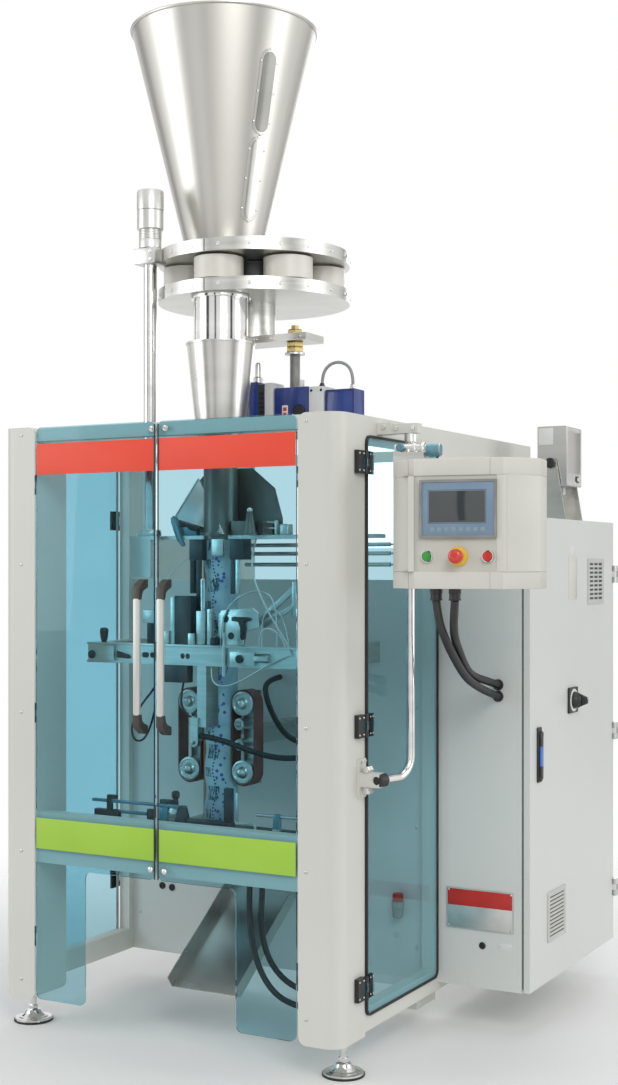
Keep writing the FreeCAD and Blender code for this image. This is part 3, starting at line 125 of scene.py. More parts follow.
def varied(tree, vector, scale, low, high, detail=4):
    """Noise turned into a mix between two colours."""
    noise = add(tree, "ShaderNodeTexNoise", Scale=scale, Detail=detail)
    tree.links.new(vector, noise.inputs["Vector"])
    ramp = tree.nodes.new("ShaderNodeValToRGB")
    ramp.color_ramp.elements[0].position = 0.35
    ramp.color_ramp.elements[0].color = (*low, 1)
    ramp.color_ramp.elements[1].position = 0.68
    ramp.color_ramp.elements[1].color = (*high, 1)
    join(tree, noise, "Fac", ramp, "Fac")
    return ramp.outputs["Color"], noise.outputs["Fac"]


def surface(name, low, high, rough=(0.4, 0.5), metal=0.0, scale=6, grain=400, bump=0.02,
            stretch=(1, 1, 1), coat=0.0):
    """A painted, moulded or metal surface: two close colours, uneven gloss and a fine grain."""
    material, tree, shader = nodes_of(name)
    vector = coords(tree, stretch)
    colour, fac = varied(tree, vector, scale, low, high)
    tree.links.new(colour, shader.inputs["Base Color"])
    shader.inputs["Metallic"].default_value = metal
    shader.inputs["Coat Weight"].default_value = coat
    gloss = tree.nodes.new("ShaderNodeMapRange")
    gloss.inputs["To Min"].default_value = rough[0]
    gloss.inputs["To Max"].default_value = rough[1]
    tree.links.new(fac, gloss.inputs["Value"])
    join(tree, gloss, "Result", shader, "Roughness")
    fine = add(tree, "ShaderNodeTexNoise", Scale=grain, Detail=2.0)
    tree.links.new(vector, fine.inputs["Vector"])
    raised = add(tree, "ShaderNodeBump", Strength=bump, Distance=0.002)
    join(tree, fine, "Fac", raised, "Height")
    join(tree, raised, "Normal", shader, "Normal")
    return material


def tinted(name, colour, rough=0.02, ior=1.2):
    """A clear tinted sheet that lets light through to what is behind it."""
    material, tree, shader = nodes_of(name)
    vector = coords(tree)
    low = tuple(c * 0.97 for c in colour)
    tint, fac = varied(tree, vector, 2.5, low, colour)
    tree.links.new(tint, shader.inputs["Base Color"])
    shader.inputs["Transmission Weight"].default_value = 1.0
    shader.inputs["Roughness"].default_value = rough
    shader.inputs["IOR"].default_value = ior
    through = tree.nodes.new("ShaderNodeBsdfTransparent")
    through.inputs["Color"].default_value = (*[c ** 0.2 for c in colour], 1)
    path = tree.nodes.new("ShaderNodeLightPath").outputs
    either = figure(tree, "MAXIMUM", path["Is Shadow Ray"], path["Is Diffuse Ray"])
    mixed(tree, either, shader, through)
    return material


def film_print(name, middle, period=0.13):
    """A printed film: pale blue ground, a waving warm band, dark leaves, violet drops and a row of dashes."""
    material, tree, shader = nodes_of(name)
    vector = coords(tree)
    colour, fac = varied(tree, vector, 18, (0.36, 0.52, 0.62), (0.52, 0.68, 0.76))
    parts = tree.nodes.new("ShaderNodeSeparateXYZ")
    tree.links.new(vector, parts.inputs["Vector"])

    def between(value, low, high):
        return figure(
            tree, "MULTIPLY", figure(tree, "GREATER_THAN", value, low),
            figure(tree, "LESS_THAN", value, high),
        )

    def painted(under, over, factor):
        node = tree.nodes.new("ShaderNodeMix")
        node.data_type = "RGBA"
        tree.links.new(factor, node.inputs["Factor"])
        tree.links.new(under, node.inputs["A"])
        node.inputs["B"].default_value = (*over, 1)
        return node.outputs["Result"]

    across, up = parts.outputs["X"], parts.outputs["Z"]
    swing = figure(
        tree, "MULTIPLY", figure(tree, "SINE", figure(tree, "MULTIPLY", up, math.tau / period)), 0.006,
    )
    side = figure(tree, "ADD", figure(tree, "SUBTRACT", across, middle), swing)
    turn = figure(tree, "FRACT", figure(tree, "DIVIDE", up, period))
    cells = add(tree, "ShaderNodeTexVoronoi", Scale=62.0)
    tree.links.new(vector, cells.inputs["Vector"])
    drops = figure(tree, "LESS_THAN", cells.outputs["Distance"], 0.34)
    leaves = figure(
        tree, "LESS_THAN", add(tree, "ShaderNodeTexNoise", Scale=46.0, Detail=1.0).outputs["Fac"], 0.52,
    )
    colour = painted(colour, (0.30, 0.115, 0.05), figure(tree, "LESS_THAN", side, -0.025))
    colour = painted(colour, (0.62, 0.60, 0.52), between(side, -0.027, -0.0235))
    for low, high, near, far, over in (
        (0.08, 0.30, -0.020, 0.004, (0.035, 0.07, 0.085)), (0.52, 0.86, -0.016, 0.020, (0.05, 0.085, 0.10)),
    ):
        spot = figure(tree, "MULTIPLY", between(turn, low, high), between(side, near, far))
        colour = painted(colour, over, figure(tree, "MULTIPLY", spot, leaves))
    spot = figure(tree, "MULTIPLY", drops, between(side, 0.016, 0.040))
    colour = painted(colour, (0.11, 0.12, 0.40), spot)
    dash = figure(tree, "LESS_THAN", figure(tree, "FRACT", figure(tree, "DIVIDE", up, 0.0108)), 0.5)
    colour = painted(colour, (0.03, 0.06, 0.20), figure(tree, "MULTIPLY", dash, between(side, 0.008, 0.013)))
    tree.links.new(colour, shader.inputs["Base Color"])
    shader.inputs["Roughness"].default_value = 0.3
    return material


PAINT = surface("paint", (0.70, 0.70, 0.645), (0.735, 0.735, 0.685), (0.38, 0.5), 0, 1.4, 260, 0.05)
CABINET_PAINT = surface(
    "cabinet_paint", (0.70, 0.715, 0.69), (0.74, 0.755, 0.73), (0.34, 0.46), 0, 1.2, 300, 0.04,
)
PANEL_PAINT = surface("panel_paint", (0.69, 0.68, 0.62), (0.73, 0.72, 0.665), (0.36, 0.45), 0, 5, 300, 0.03)
STEEL = surface(
    "steel", (0.54, 0.535, 0.51), (0.60, 0.595, 0.57), (0.24, 0.32), 1.0, 2, 260, 0.006, (1, 1, 9),
)
HOPPER_STEEL = surface(
    "hopper_steel", (0.53, 0.52, 0.485), (0.60, 0.59, 0.55), (0.30, 0.40), 1.0, 2.2, 160, 0.01,
    (1, 1, 0.12),
)
CHROME = surface("chrome", (0.66, 0.66, 0.65), (0.76, 0.76, 0.75), (0.08, 0.16), 1.0, 3, 200, 0.01, (1, 1, 8))
ALUMINIUM = surface(
    "aluminium", (0.56, 0.56, 0.53), (0.66, 0.66, 0.63), (0.26, 0.38), 1.0, 8, 220, 0.03, (1, 1, 10),
)
HANDLE_METAL = surface(
    "handle_metal", (0.60, 0.595, 0.56), (0.67, 0.66, 0.62), (0.34, 0.44), 0.3, 9, 240, 0.02, (10, 10, 1),
)
DARK_STEEL = surface("dark_steel", (0.035, 0.045, 0.05), (0.07, 0.08, 0.085), (0.32, 0.5), 0.6, 9, 160, 0.05)
BLACK = surface("black_plastic", (0.012, 0.012, 0.013), (0.024, 0.024, 0.025), (0.34, 0.5), 0, 20, 700, 0.06)
RUBBER = surface("rubber", (0.012, 0.012, 0.012), (0.022, 0.022, 0.021), (0.55, 0.7), 0, 30, 500, 0.08)
CREAM = surface("cream_plastic", (0.80, 0.78, 0.70), (0.88, 0.865, 0.80), (0.3, 0.42), 0, 7, 300, 0.02)
BLUE = surface(
    "blue_paint", (0.008, 0.03, 0.19), (0.015, 0.05, 0.27), (0.25, 0.4), 0, 12, 300, 0.05, coat=0.3,
)
RED = surface(
    "red_plastic", (0.62, 0.025, 0.015), (0.72, 0.04, 0.025), (0.22, 0.32), 0, 14, 300, 0.02, coat=0.3,
)
GREEN = surface(
    "green_plastic", (0.03, 0.27, 0.035), (0.05, 0.36, 0.06), (0.22, 0.32), 0, 14, 300, 0.02, coat=0.3,
)
YELLOW = surface("yellow_plastic", (0.78, 0.52, 0.02), (0.86, 0.60, 0.04), (0.3, 0.4), 0, 14, 300, 0.02)
BRASS = surface("brass", (0.46, 0.36, 0.15), (0.62, 0.52, 0.27), (0.22, 0.36), 1.0, 9, 200, 0.03)
WHITE = surface("white_plastic", (0.70, 0.71, 0.70), (0.78, 0.79, 0.78), (0.35, 0.45), 0, 12, 300, 0.02)
BELT = surface("belt_rubber", (0.13, 0.035, 0.03), (0.19, 0.055, 0.045), (0.5, 0.65), 0, 18, 350, 0.1)
GLASS = tinted("tinted_sheet", (0.44, 0.70, 0.78))
STRIP_RED = surface("strip_red", (0.88, 0.075, 0.04), (0.94, 0.10, 0.055), (0.55, 0.65), 0, 3, 200, 0.01)
STRIP_GREEN = surface("strip_green", (0.36, 0.62, 0.05), (0.41, 0.68, 0.075), (0.5, 0.6), 0, 3, 200, 0.01)
HANDLE_END = surface(
    "handle_end", (0.040, 0.036, 0.032), (0.060, 0.055, 0.048), (0.4, 0.55), 0, 30, 500, 0.06,
)
SATIN = surface("satin", (0.58, 0.58, 0.56), (0.68, 0.68, 0.66), (0.32, 0.45), 1.0, 12, 400, 0.03)
THREAD = surface("thread", (0.42, 0.42, 0.40), (0.55, 0.55, 0.53), (0.35, 0.5), 0.8, 20, 300, 0.05)
BLUE_DARK = surface("blue_dark", (0.006, 0.02, 0.12), (0.01, 0.03, 0.16), (0.3, 0.4), 0, 12, 300, 0.03)
# Darker and lighter copies of one window material for the two alike hopper windows: painted shade on the
# upper, painted reflection on the lower.
WINDOW_PAINTED_SHADE = surface("window_painted_shade", (0.30, 0.30, 0.27), (0.38, 0.38, 0.35), (0.12, 0.2), 0.2, 5, 100, 0.01)
WINDOW_PAINTED_REFLECTION = surface(
    "window_painted_reflection", (0.62, 0.62, 0.58), (0.72, 0.72, 0.68), (0.1, 0.2), 0.6, 5, 100, 0.01,
)
PANEL_FACE = surface("panel_face", (0.60, 0.595, 0.53), (0.645, 0.64, 0.575), (0.4, 0.5), 0, 5, 300, 0.03)
BEZEL = surface("bezel", (0.27, 0.275, 0.27), (0.36, 0.365, 0.36), (0.28, 0.4), 0.7, 12, 300, 0.03)
SCREEN_FACE = surface("screen_face", (0.20, 0.29, 0.40), (0.25, 0.35, 0.47), (0.25, 0.35), 0, 7, 300, 0.01)
SCREEN = surface(
    "screen_glass", (0.045, 0.055, 0.058), (0.06, 0.072, 0.075), (0.08, 0.14), 0, 3, 200, 0.005, coat=0.5,
)
SCREEN_KEY = surface("screen_key", (0.22, 0.33, 0.36), (0.27, 0.39, 0.42), (0.3, 0.4), 0, 20, 300, 0.01)
LABEL = surface("label", (0.76, 0.77, 0.75), (0.82, 0.83, 0.81), (0.4, 0.5), 0, 9, 300, 0.01)
DOOR_PANEL = surface("door_panel", (0.46, 0.45, 0.43), (0.56, 0.55, 0.52), (0.3, 0.45), 0.4, 4, 200, 0.02)
CLAMP_BLUE = surface("clamp_blue", (0.10, 0.26, 0.33), (0.16, 0.34, 0.42), (0.2, 0.32), 0.3, 12, 300, 0.02)
VENT_GREY = surface("vent_grey", (0.56, 0.56, 0.52), (0.62, 0.62, 0.58), (0.4, 0.5), 0, 12, 300, 0.02)
PATCH = surface("patch", (0.66, 0.65, 0.58), (0.74, 0.73, 0.66), (0.3, 0.45), 0, 8, 200, 0.02)
LATCH_BLUE = surface("latch_blue", (0.05, 0.16, 0.55), (0.08, 0.22, 0.66), (0.3, 0.4), 0, 12, 300, 0.02)
PLATE_RED = surface("plate_red", (0.50, 0.02, 0.015), (0.62, 0.035, 0.025), (0.3, 0.42), 0.1, 8, 300, 0.02)
# Bright copy of the steel for the shoulder wing: painted highlight.
WING_STEEL_PAINTED_HIGHLIGHT = surface("wing_steel_painted_highlight", (0.72, 0.74, 0.74), (0.86, 0.88, 0.88), (0.18, 0.26), 0.85, 3, 200, 0.01)
# Dark copy of the steel for the forming shoulder and forming tube: painted shade of the shoulder's dark
# inside.
SHOULDER_STEEL_PAINTED_SHADE = surface(
    "shoulder_steel_painted_shade", (0.16, 0.145, 0.13), (0.24, 0.22, 0.20), (0.3, 0.4), 0.8, 3, 200, 0.01,
)
FILM = film_print("film_print", X0 - 0.6)
GREY_PLASTIC = surface("grey_plastic", (0.30, 0.31, 0.30), (0.37, 0.38, 0.37), (0.35, 0.5), 0, 12, 300, 0.03)

NODE_LOOKS = {
    PAINT: ["side_frame_right", "side_frame_left", "cross_beams", "top_platform", "tube_brackets"],
    CABINET_PAINT: ["cabinet_body", "cabinet_door", "inner_wall"],
    PANEL_PAINT: ["panel_housing"],
    STEEL: ["levelling_feet", "display_box", "display_bracket", "cabinet_hinges", "forming_plate",
            "belt_unit_left", "belt_unit_right", "jaw_guides",
            "discharge_chute", "feed_funnel"],
    HOPPER_STEEL: ["hopper", "doser_column"],
    SHOULDER_STEEL_PAINTED_SHADE: ["forming_shoulder", "forming_tube"],
    CHROME: ["support_tube", "drop_tube"],
    ALUMINIUM: ["turret_plate_upper", "turret_plate_lower", "turret_bearing", "seal_arm", "panel_clamp"],
    HANDLE_METAL: ["handle_left", "handle_right"],
    DARK_STEEL: ["seal_jaw_front", "seal_jaw_rear", "front_hinges"],
    BLACK: ["side_hinges", "cabinet_latch", "main_switch_plate", "main_switch_knob", "touch_screen"],
    CREAM: ["measuring_cups"],
    BLUE: ["doser_drive"],
    RED: ["emergency_stop", "stop_button"],
    GREEN: ["start_button"],
    YELLOW: ["emergency_ring"],
    BRASS: ["adjusting_screw"],
    BELT: ["pull_belts"],
    GLASS: ["front_door_left", "front_door_right", "side_door_right", "side_door_left"],
    FILM: ["film_sleeve"],
}
for material, names in NODE_LOOKS.items():
    for name in names:
        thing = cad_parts[name]
        thing.data.materials.clear()
        thing.data.materials.append(material)


# ---- mesh helpers
UP, FORE, AFT, RIGHT, LEFT = (0, 0, 1), (0, -1, 0), (0, 1, 0), (1, 0, 0), (-1, 0, 0)
MM = Matrix.Diagonal((0.001, 0.001, 0.001, 1))
MACHINE = Matrix.Translation((X0, Y0, 0)) @ MM
TUBE_X, TUBE_Y, PANEL_TURN = 96, 262, math.radians(9)
PANEL = Matrix.Translation(at(TUBE_X, TUBE_Y, 0)) @ Matrix.Rotation(PANEL_TURN, 4, "Z") @ MM


def finish_mesh(name, bm, material, body="root", place=MACHINE, smooth=38):
    bmesh.ops.recalc_face_normals(bm, faces=bm.faces)
    for face in bm.faces:
        face.smooth = True
    limit = math.radians(smooth)
    for edge in bm.edges:
        if len(edge.link_faces) != 2 or edge.calc_face_angle(0) > limit:
            edge.smooth = False
    bm.transform(place)
    mesh = bpy.data.meshes.new(name)
    bm.to_mesh(mesh)
    bm.free()
    thing = bpy.data.objects.new(name, mesh)
    bpy.context.scene.collection.objects.link(thing)
    mesh.materials.append(material)
    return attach(thing, body) if body else thing


def add_block(bm, low, high, bevel=1.0, segments=2):
    """A box between two corners with rounded edges."""
    made = bmesh.ops.create_cube(bm, size=1)["verts"]
    size = [high[i] - low[i] for i in range(3)]
    for v in made:
        v.co = Vector([(low[i] + high[i]) / 2 + v.co[i] * size[i] for i in range(3)])
    bevel = min(bevel, min(size) * 0.45)
    if bevel > 0:
        edges = list({e for v in made for e in v.link_edges})
        bmesh.ops.bevel(bm, geom=edges, offset=bevel, segments=segments, profile=0.5, affect="EDGES")


def blocks(name, material, boxes, bevel=1.0, body="root", place=MACHINE):
    bm = bmesh.new()
    for low, high in boxes:
        add_block(bm, low, high, bevel)
    return finish_mesh(name, bm, material, body, place)


def turned(axis):
    return Vector((0, 0, 1)).rotation_difference(Vector(axis)).to_matrix()


def add_lathe(bm, origin, axis, profile, segments=32, teeth=0, depth=0.0):
    """A profile of (radius, height) pairs turned about an axis through a point."""
    spin = turned(axis)
    rings = []
    for radius, height in profile:
        if radius <= 0:
            rings.append([bm.verts.new(Vector(origin) + spin @ Vector((0, 0, height)))])
            continue
        ring = []
        for k in range(segments):
            a = math.tau * k / segments
            r = radius - depth if teeth and (k * teeth * 2 // segments) % 2 else radius
            ring.append(
                bm.verts.new(Vector(origin) + spin @ Vector((r * math.cos(a), r * math.sin(a), height))),
            )
        rings.append(ring)
    for lower, upper in zip(rings, rings[1:]):
        if len(lower) == 1 and len(upper) == 1:
            continue
        for k in range(segments):
            n = (k + 1) % segments
            if len(lower) == 1:
                bm.faces.new((lower[0], upper[n], upper[k]))
            elif len(upper) == 1:
                bm.faces.new((lower[k], lower[n], upper[0]))
            else:
                bm.faces.new((lower[k], lower[n], upper[n], upper[k]))


def lathes(
    name, material, origins, axis, profile, body="root", place=MACHINE, segments=32, teeth=0, depth=0.0,
):
    bm = bmesh.new()
    for origin in origins:
        add_lathe(bm, origin, axis, profile, segments, teeth, depth)
    return finish_mesh(name, bm, material, body, place)


def ring_at(bm, outline, axis, level):
    """The corners of an outline in the plane across an axis, at a level along it."""
    index = "xyz".index(axis)
    ring = []
    for pair in outline:
        co = list(pair)
        co.insert(index, level)
        ring.append(bm.verts.new(co))
    return ring


def add_prism(bm, outline, axis, low, high, bevel=0.0):
    """An outline of points in the plane across an axis, given depth along it."""
    ends = [ring_at(bm, outline, axis, level) for level in (low, high)]
    count = len(outline)
    faces = [bm.faces.new(ends[0]), bm.faces.new(ends[1][::-1])]
    for k in range(count):
        n = (k + 1) % count
        faces.append(bm.faces.new((ends[0][k], ends[1][k], ends[1][n], ends[0][n])))
    if bevel:
        edges = list({e for f in faces[:2] for e in f.edges})
        bmesh.ops.bevel(bm, geom=edges, offset=bevel, segments=2, profile=0.5, affect="EDGES")


def prism(name, material, outline, axis, low, high, bevel=0.0, body="root", place=MACHINE):
    bm = bmesh.new()
    add_prism(bm, outline, axis, low, high, bevel)
    return finish_mesh(name, bm, material, body, place)


def rounded(a0, a1, b0, b1, r, steps=6):
    """The outline of a rounded rectangle."""
    points = []
    for ca, cb, start in (
        (a1 - r, b1 - r, 0), (a0 + r, b1 - r, 90), (a0 + r, b0 + r, 180), (a1 - r, b0 + r, 270),
    ):
        for k in range(steps + 1):
            t = math.radians(start + 90 * k / steps)
            points.append((ca + r * math.cos(t), cb + r * math.sin(t)))
    return points


def add_frame(bm, outer, inner, axis, low, high):
    """A flat ring between two outlines of equal count, given depth along an axis."""
    corners = (outer, low), (outer, high), (inner, high), (inner, low)
    rings = [ring_at(bm, outline, axis, level) for outline, level in corners]
    count = len(outer)
    for i in range(4):
        one, two = rings[i], rings[(i + 1) % 4]
        for k in range(count):
            n = (k + 1) % count
            bm.faces.new((one[k], one[n], two[n], two[k]))


def ring_frame(name, material, outer, inner, axis, low, high, body="root", place=MACHINE):
    bm = bmesh.new()
    add_frame(bm, outer, inner, axis, low, high)
    return finish_mesh(name, bm, material, body, place)


DOME = [(5.5, 0), (5.5, 0.8), (5.0, 2.0), (3.4, 3.1), (2.2, 3.3), (2.2, 2.0), (0, 2.0)]
SOCKET = [(5.5, 0), (5.5, 4.6), (5.0, 5.2), (2.8, 5.2), (2.8, 2.6), (0, 2.6)]
RIVET = [(3.2, 0), (3.2, 0.5), (2.4, 1.6), (1.1, 2.1), (0, 2.2)]


def screws(
    name, places, axis, profile=DOME, material=None, body="root", place=MACHINE, scale=1.0, segments=14,
):
    grown = [(r * scale, h * scale) for r, h in profile]
    return lathes(name, material or ALUMINIUM, places, axis, grown, body, place, segments)


def spline_points(points):
    """The smooth line of a route, read from its NURBS spline."""
    curve = bpy.data.curves.new("route", "CURVE")
    curve.dimensions = "3D"
    add_spline(curve, points)
    thing = bpy.data.objects.new("route", curve)
    bpy.context.scene.collection.objects.link(thing)
    bpy.context.view_layer.update()
    mesh = bpy.data.meshes.new_from_object(thing)
    line = [v.co.copy() for v in mesh.vertices]
    bpy.data.objects.remove(thing)
    bpy.data.curves.remove(curve)
    bpy.data.meshes.remove(mesh)
    return line


def add_spline(curve, points):
    """A smooth second-degree spline through a route in machine millimetres."""
    spline = curve.splines.new("NURBS")
    spline.points.add(len(points) - 1)
    for target, point in zip(spline.points, points):
        target.co = (*(MACHINE @ Vector(point)), 1)
    spline.order_u = 3
    spline.use_endpoint_u = True
    spline.resolution_u = 16


def length_of(line):
    return sum((b - a).length for a, b in zip(line, line[1:]))


def even(line, step):
    """Points a step apart along a line."""
    total = length_of(line)
    count = max(2, round(total / step))
    made, i, gone = [line[0].copy()], 0, 0.0
    for k in range(1, count):
        wanted = total * k / count
        while gone + (line[i + 1] - line[i]).length < wanted:
            gone += (line[i + 1] - line[i]).length
            i += 1
        part = (wanted - gone) / (line[i + 1] - line[i]).length
        made.append(line[i].lerp(line[i + 1], part))
    made.append(line[-1].copy())
    return made


def tube_mesh(name, material, line, radius, body="root", sides=16):
    """A mesh tube along a line; radius is a number or a function of the length so far."""
    bm = bmesh.new()
    up = None
    gone = 0.0
    rings = []
    for i, point in enumerate(line):
        ahead = line[min(i + 1, len(line) - 1)] - line[max(i - 1, 0)]
        ahead.normalize()
        if up is None:
            up = ahead.orthogonal().normalized()
        up = (up - ahead * up.dot(ahead)).normalized()
        side = ahead.cross(up)
        if i:
            gone += (point - line[i - 1]).length
        r = radius(gone) if callable(radius) else radius
        rings.append([
            bm.verts.new(point + (up * math.cos(a) + side * math.sin(a)) * r)
            for a in [math.tau * k / sides for k in range(sides)]
        ])
    for lower, upper in zip(rings, rings[1:]):
        for k in range(sides):
            n = (k + 1) % sides
            bm.faces.new((lower[k], lower[n], upper[n], upper[k]))
    bm.faces.new(rings[0][::-1])
    bm.faces.new(rings[-1])
    return finish_mesh(name, bm, material, body, Matrix.Identity(4), 60)


def hose(name, material, points, radius, node=None):
    """A smooth round cord along a route of control points."""
    curve = bpy.data.curves.new(name, "CURVE")
    curve.dimensions = "3D"
    add_spline(curve, points)
    curve.bevel_depth = radius / 1000
    curve.bevel_resolution = 5
    curve.use_fill_caps = True
    curve.materials.append(material)
    thing = bpy.data.objects.new(name, curve)
    bpy.context.scene.collection.objects.link(thing)
    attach(thing, "root")
    if node:
        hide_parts(node)
    round(length_of(spline_points(points)), 3)


# ---- camera, light, ground
FOCAL_PX, PHOTO_H, SENSOR = 1544.42, 1085, 36
SHIFT = (-0.0047, 0.0221)
CAMERA_PLACE, CAMERA_TURN = (2.3419, -4.5188, 1.4469), 28.687
camera_data = bpy.data.cameras.new("camera")
camera_data.sensor_fit = "VERTICAL"
camera_data.sensor_height = SENSOR
camera_data.lens = FOCAL_PX / PHOTO_H * SENSOR
camera_data.shift_x, camera_data.shift_y = SHIFT
camera = bpy.data.objects.new("camera", camera_data)
camera.location = CAMERA_PLACE
camera.rotation_euler = (math.radians(90), 0, math.radians(CAMERA_TURN))
bpy.context.scene.collection.objects.link(camera)
bpy.context.scene.camera = camera
bpy.context.scene.view_settings.view_transform = "Standard"


WORLD_LIGHT = 0.47


def backdrop_world():
    """White where the camera, mirrors and clear sheets look at it, and a soft light elsewhere."""
    world = bpy.data.worlds.new("studio")
    bpy.context.scene.world = world
    world.use_nodes = True
    tree = world.node_tree
    soft = tree.nodes["Background"]
    soft.inputs["Color"].default_value = (0.97, 0.98, 1.0, 1)
    soft.inputs["Strength"].default_value = WORLD_LIGHT
    white = add(tree, "ShaderNodeBackground", Color=(1, 1, 1, 1), Strength=1.0)
    path = tree.nodes.new("ShaderNodeLightPath").outputs
    either = figure(tree, "MAXIMUM", path["Is Camera Ray"], path["Is Transmission Ray"])
    mixed(tree, figure(tree, "MAXIMUM", either, path["Is Glossy Ray"]), soft, white, "World Output")


backdrop_world()


def fading_floor(near, far):
    """A pale floor that gives way to the white ground between two distances from its middle."""
    material, tree, shader = nodes_of("floor")
    vector = coords(tree)
    colour, fac = varied(tree, vector, 0.6, (0.90, 0.90, 0.895), (0.92, 0.92, 0.915))
    tree.links.new(colour, shader.inputs["Base Color"])
    shader.inputs["Roughness"].default_value = 0.8
    away = add(tree, "ShaderNodeVectorMath")
    away.operation = "LENGTH"
    tree.links.new(vector, away.inputs[0])
    fade = tree.nodes.new("ShaderNodeMapRange")
    fade.interpolation_type = "SMOOTHSTEP"
    fade.inputs["From Min"].default_value = near
    fade.inputs["From Max"].default_value = far
    join(tree, away, "Value", fade, "Value")
    mixed(tree, fade.outputs["Result"], shader, tree.nodes.new("ShaderNodeBsdfTransparent"))
    return material


FLOOR = fading_floor(1.0, 3.4)
CARD = surface("card", (0.03, 0.03, 0.028), (0.05, 0.05, 0.045), (0.8, 0.9), 0, 1, 50, 0.0)


MIDDLE = (-0.1, 0.0, 1.3)


def staged(name, data, place=(0, 0, 0), aimed=True):
    """A lamp, card or floor of the studio, turned to the middle of the machine."""
    thing = bpy.data.objects.new(name, data)
    thing.location = place
    if aimed:
        thing.rotation_euler = (Vector(MIDDLE) - Vector(place)).to_track_quat("-Z", "Y").to_euler()
    bpy.context.scene.collection.objects.link(thing)
    return thing


# Name, place, width and height in metres, power in watts and colour.
LAMPS = [
    ("key", (3.6, -4.4, 4.2), (2.6, 2.6), 108, (1.0, 0.99, 0.96)),
    ("fill", (-4.2, -3.6, 2.6), (2.4, 3.2), 70, (0.97, 0.99, 1.0)),
    ("side", (5.0, 1.2, 2.4), (2.2, 3.4), 48, (0.98, 0.99, 1.0)),
    ("top", (0.0, 0.4, 5.6), (3.4, 3.4), 52, (1, 1, 1)),
    ("rear", (-1.0, 5.0, 3.0), (3.0, 3.0), 46, (1, 1, 1)),
]
for name, place, size, power, colour in LAMPS:
    data = bpy.data.lights.new(name, "AREA")
    data.shape = "RECTANGLE"
    data.size, data.size_y = size
    data.energy = power
    data.color = colour
    staged(name, data, place)


def flat_mesh(name, corners, material):
    """A single flat face."""
    bm = bmesh.new()
    bm.faces.new([bm.verts.new((x, y, 0)) for x, y in corners])
    mesh = bpy.data.meshes.new(name)
    bm.to_mesh(mesh)
    bm.free()
    mesh.materials.append(material)
    return mesh


# Dark panels of the studio that only show in shiny metal: name, place and width.
CARD_TALL = 4.4
CARDS = [
    ("card_left", (-2.2, -4.6, 2.2), 0.9), ("card_middle", (0.5, -5.4, 2.2), 0.55),
    ("card_right", (4.6, -1.6, 2.2), 0.8), ("card_far_left", (-5.0, 0.6, 2.2), 1.2),
    ("card_back", (1.2, 5.4, 2.2), 1.4),
]
for name, place, wide in CARDS:
    corners = [(x * wide / 2, y * CARD_TALL / 2) for x, y in ((-1, -1), (1, -1), (1, 1), (-1, 1))]
    thing = staged(name, flat_mesh(name, corners, CARD), place)
    thing.visible_camera = False
    thing.visible_diffuse = False
    thing.visible_transmission = False
    thing.visible_shadow = False

FLOOR_R, FLOOR_SIDES = 14.0, 96
turns = [math.tau * k / FLOOR_SIDES for k in range(FLOOR_SIDES)]
rim = [(FLOOR_R * math.cos(t), FLOOR_R * math.sin(t)) for t in turns]
staged("floor", flat_mesh("floor", rim, FLOOR), aimed=False)

# ---- cords, as in the part's source
GLANDS = [(130, -198), (184, -203)]
GLAND_END = 1386 - 32
CONDUIT_R, HOSE_R = 12, 9
MACHINE_MM = MACHINE.inverted() @ PANEL
ax, ay, az = MACHINE_MM @ Vector((*GLANDS[0], GLAND_END))
bx, by, bz = MACHINE_MM @ Vector((*GLANDS[1], GLAND_END))
ARM_LOW, JAW_TIE, SILL_MID, FRAME_IN = 1141, 575, 147, -40
CONDUITS = {
    "left": [
        (ax, ay, az), (ax + 4, ay + 7, az - 56), (ax + 11, ay + 36, az - 108), (ax + 11, ay + 81, az - 149),
        (ax - 1, ay + 175, az - 203), (ax - 18, ay + 276, az - 241), (213, CAB_FRONT - 109, az - 287),
        (206, CAB_FRONT, az - 308),
    ],
    "right": [
        (bx, by, bz), (bx - 10, by + 14, bz - 55), (bx - 24, by + 50, bz - 100),
        (bx - 42, by + 119, bz - 138), (bx - 75, by + 248, bz - 199), (bx - 94, by + 349, bz - 232),
        (207, CAB_FRONT - 92, bz - 255), (206, CAB_FRONT, bz - 272),
    ],
}
RIB_PITCH = 0.0055
for side, points in CONDUITS.items():
    line = even(spline_points(points), RIB_PITCH / 4)
    tube = tube_mesh(
        "conduit_" + side, BLACK, line,
        lambda s: CONDUIT_R / 1000 - 0.0011 * (0.5 + 0.5 * math.cos(math.tau * s / RIB_PITCH)),
        body=None, sides=18,
    )
    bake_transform(tube)
    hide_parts("panel_conduit_" + side)

BOX_TOP, PLUG_TOP, ARC_LOW, ARC_TOP, ARC_Y = 2014, 2018, 2058.5, 2090.5, 515
hose("drive_cable_run", GREY_PLASTIC, [
    (-332, ARC_Y, BOX_TOP), (-332, ARC_Y, ARC_LOW), (-299.8, ARC_Y, ARC_TOP),
    (-254.2, ARC_Y, ARC_TOP), (-222, ARC_Y, ARC_LOW), (-222, ARC_Y, PLUG_TOP),
], 5, node="drive_cable")
hose(
    "belt_hose_front_run", RUBBER,
    [
        (-600, 220, ARM_LOW - 216), (-536, 230, ARM_LOW - 224), (-460, 258, ARM_LOW - 254),
        (-396, 320, ARM_LOW - 284), (-352, 420, ARM_LOW - 293), (-328, 540, ARM_LOW - 287),
        (-318, INNER_WALL, ARM_LOW - 290),
    ],
    HOSE_R, node="belt_hose_front",
)
hose(
    "belt_hose_rear_run", RUBBER,
    [
        (-566, INNER_WALL, ARM_LOW - 61), (-562, 570, ARM_LOW - 66), (-530, 490, ARM_LOW - 94),
        (-470, 440, ARM_LOW - 166), (-410, 430, ARM_LOW - 234), (-352, 470, ARM_LOW - 256),
        (-314, 566, ARM_LOW - 238), (-300, INNER_WALL, ARM_LOW - 212),
    ],
    HOSE_R, node="belt_hose_rear",
)
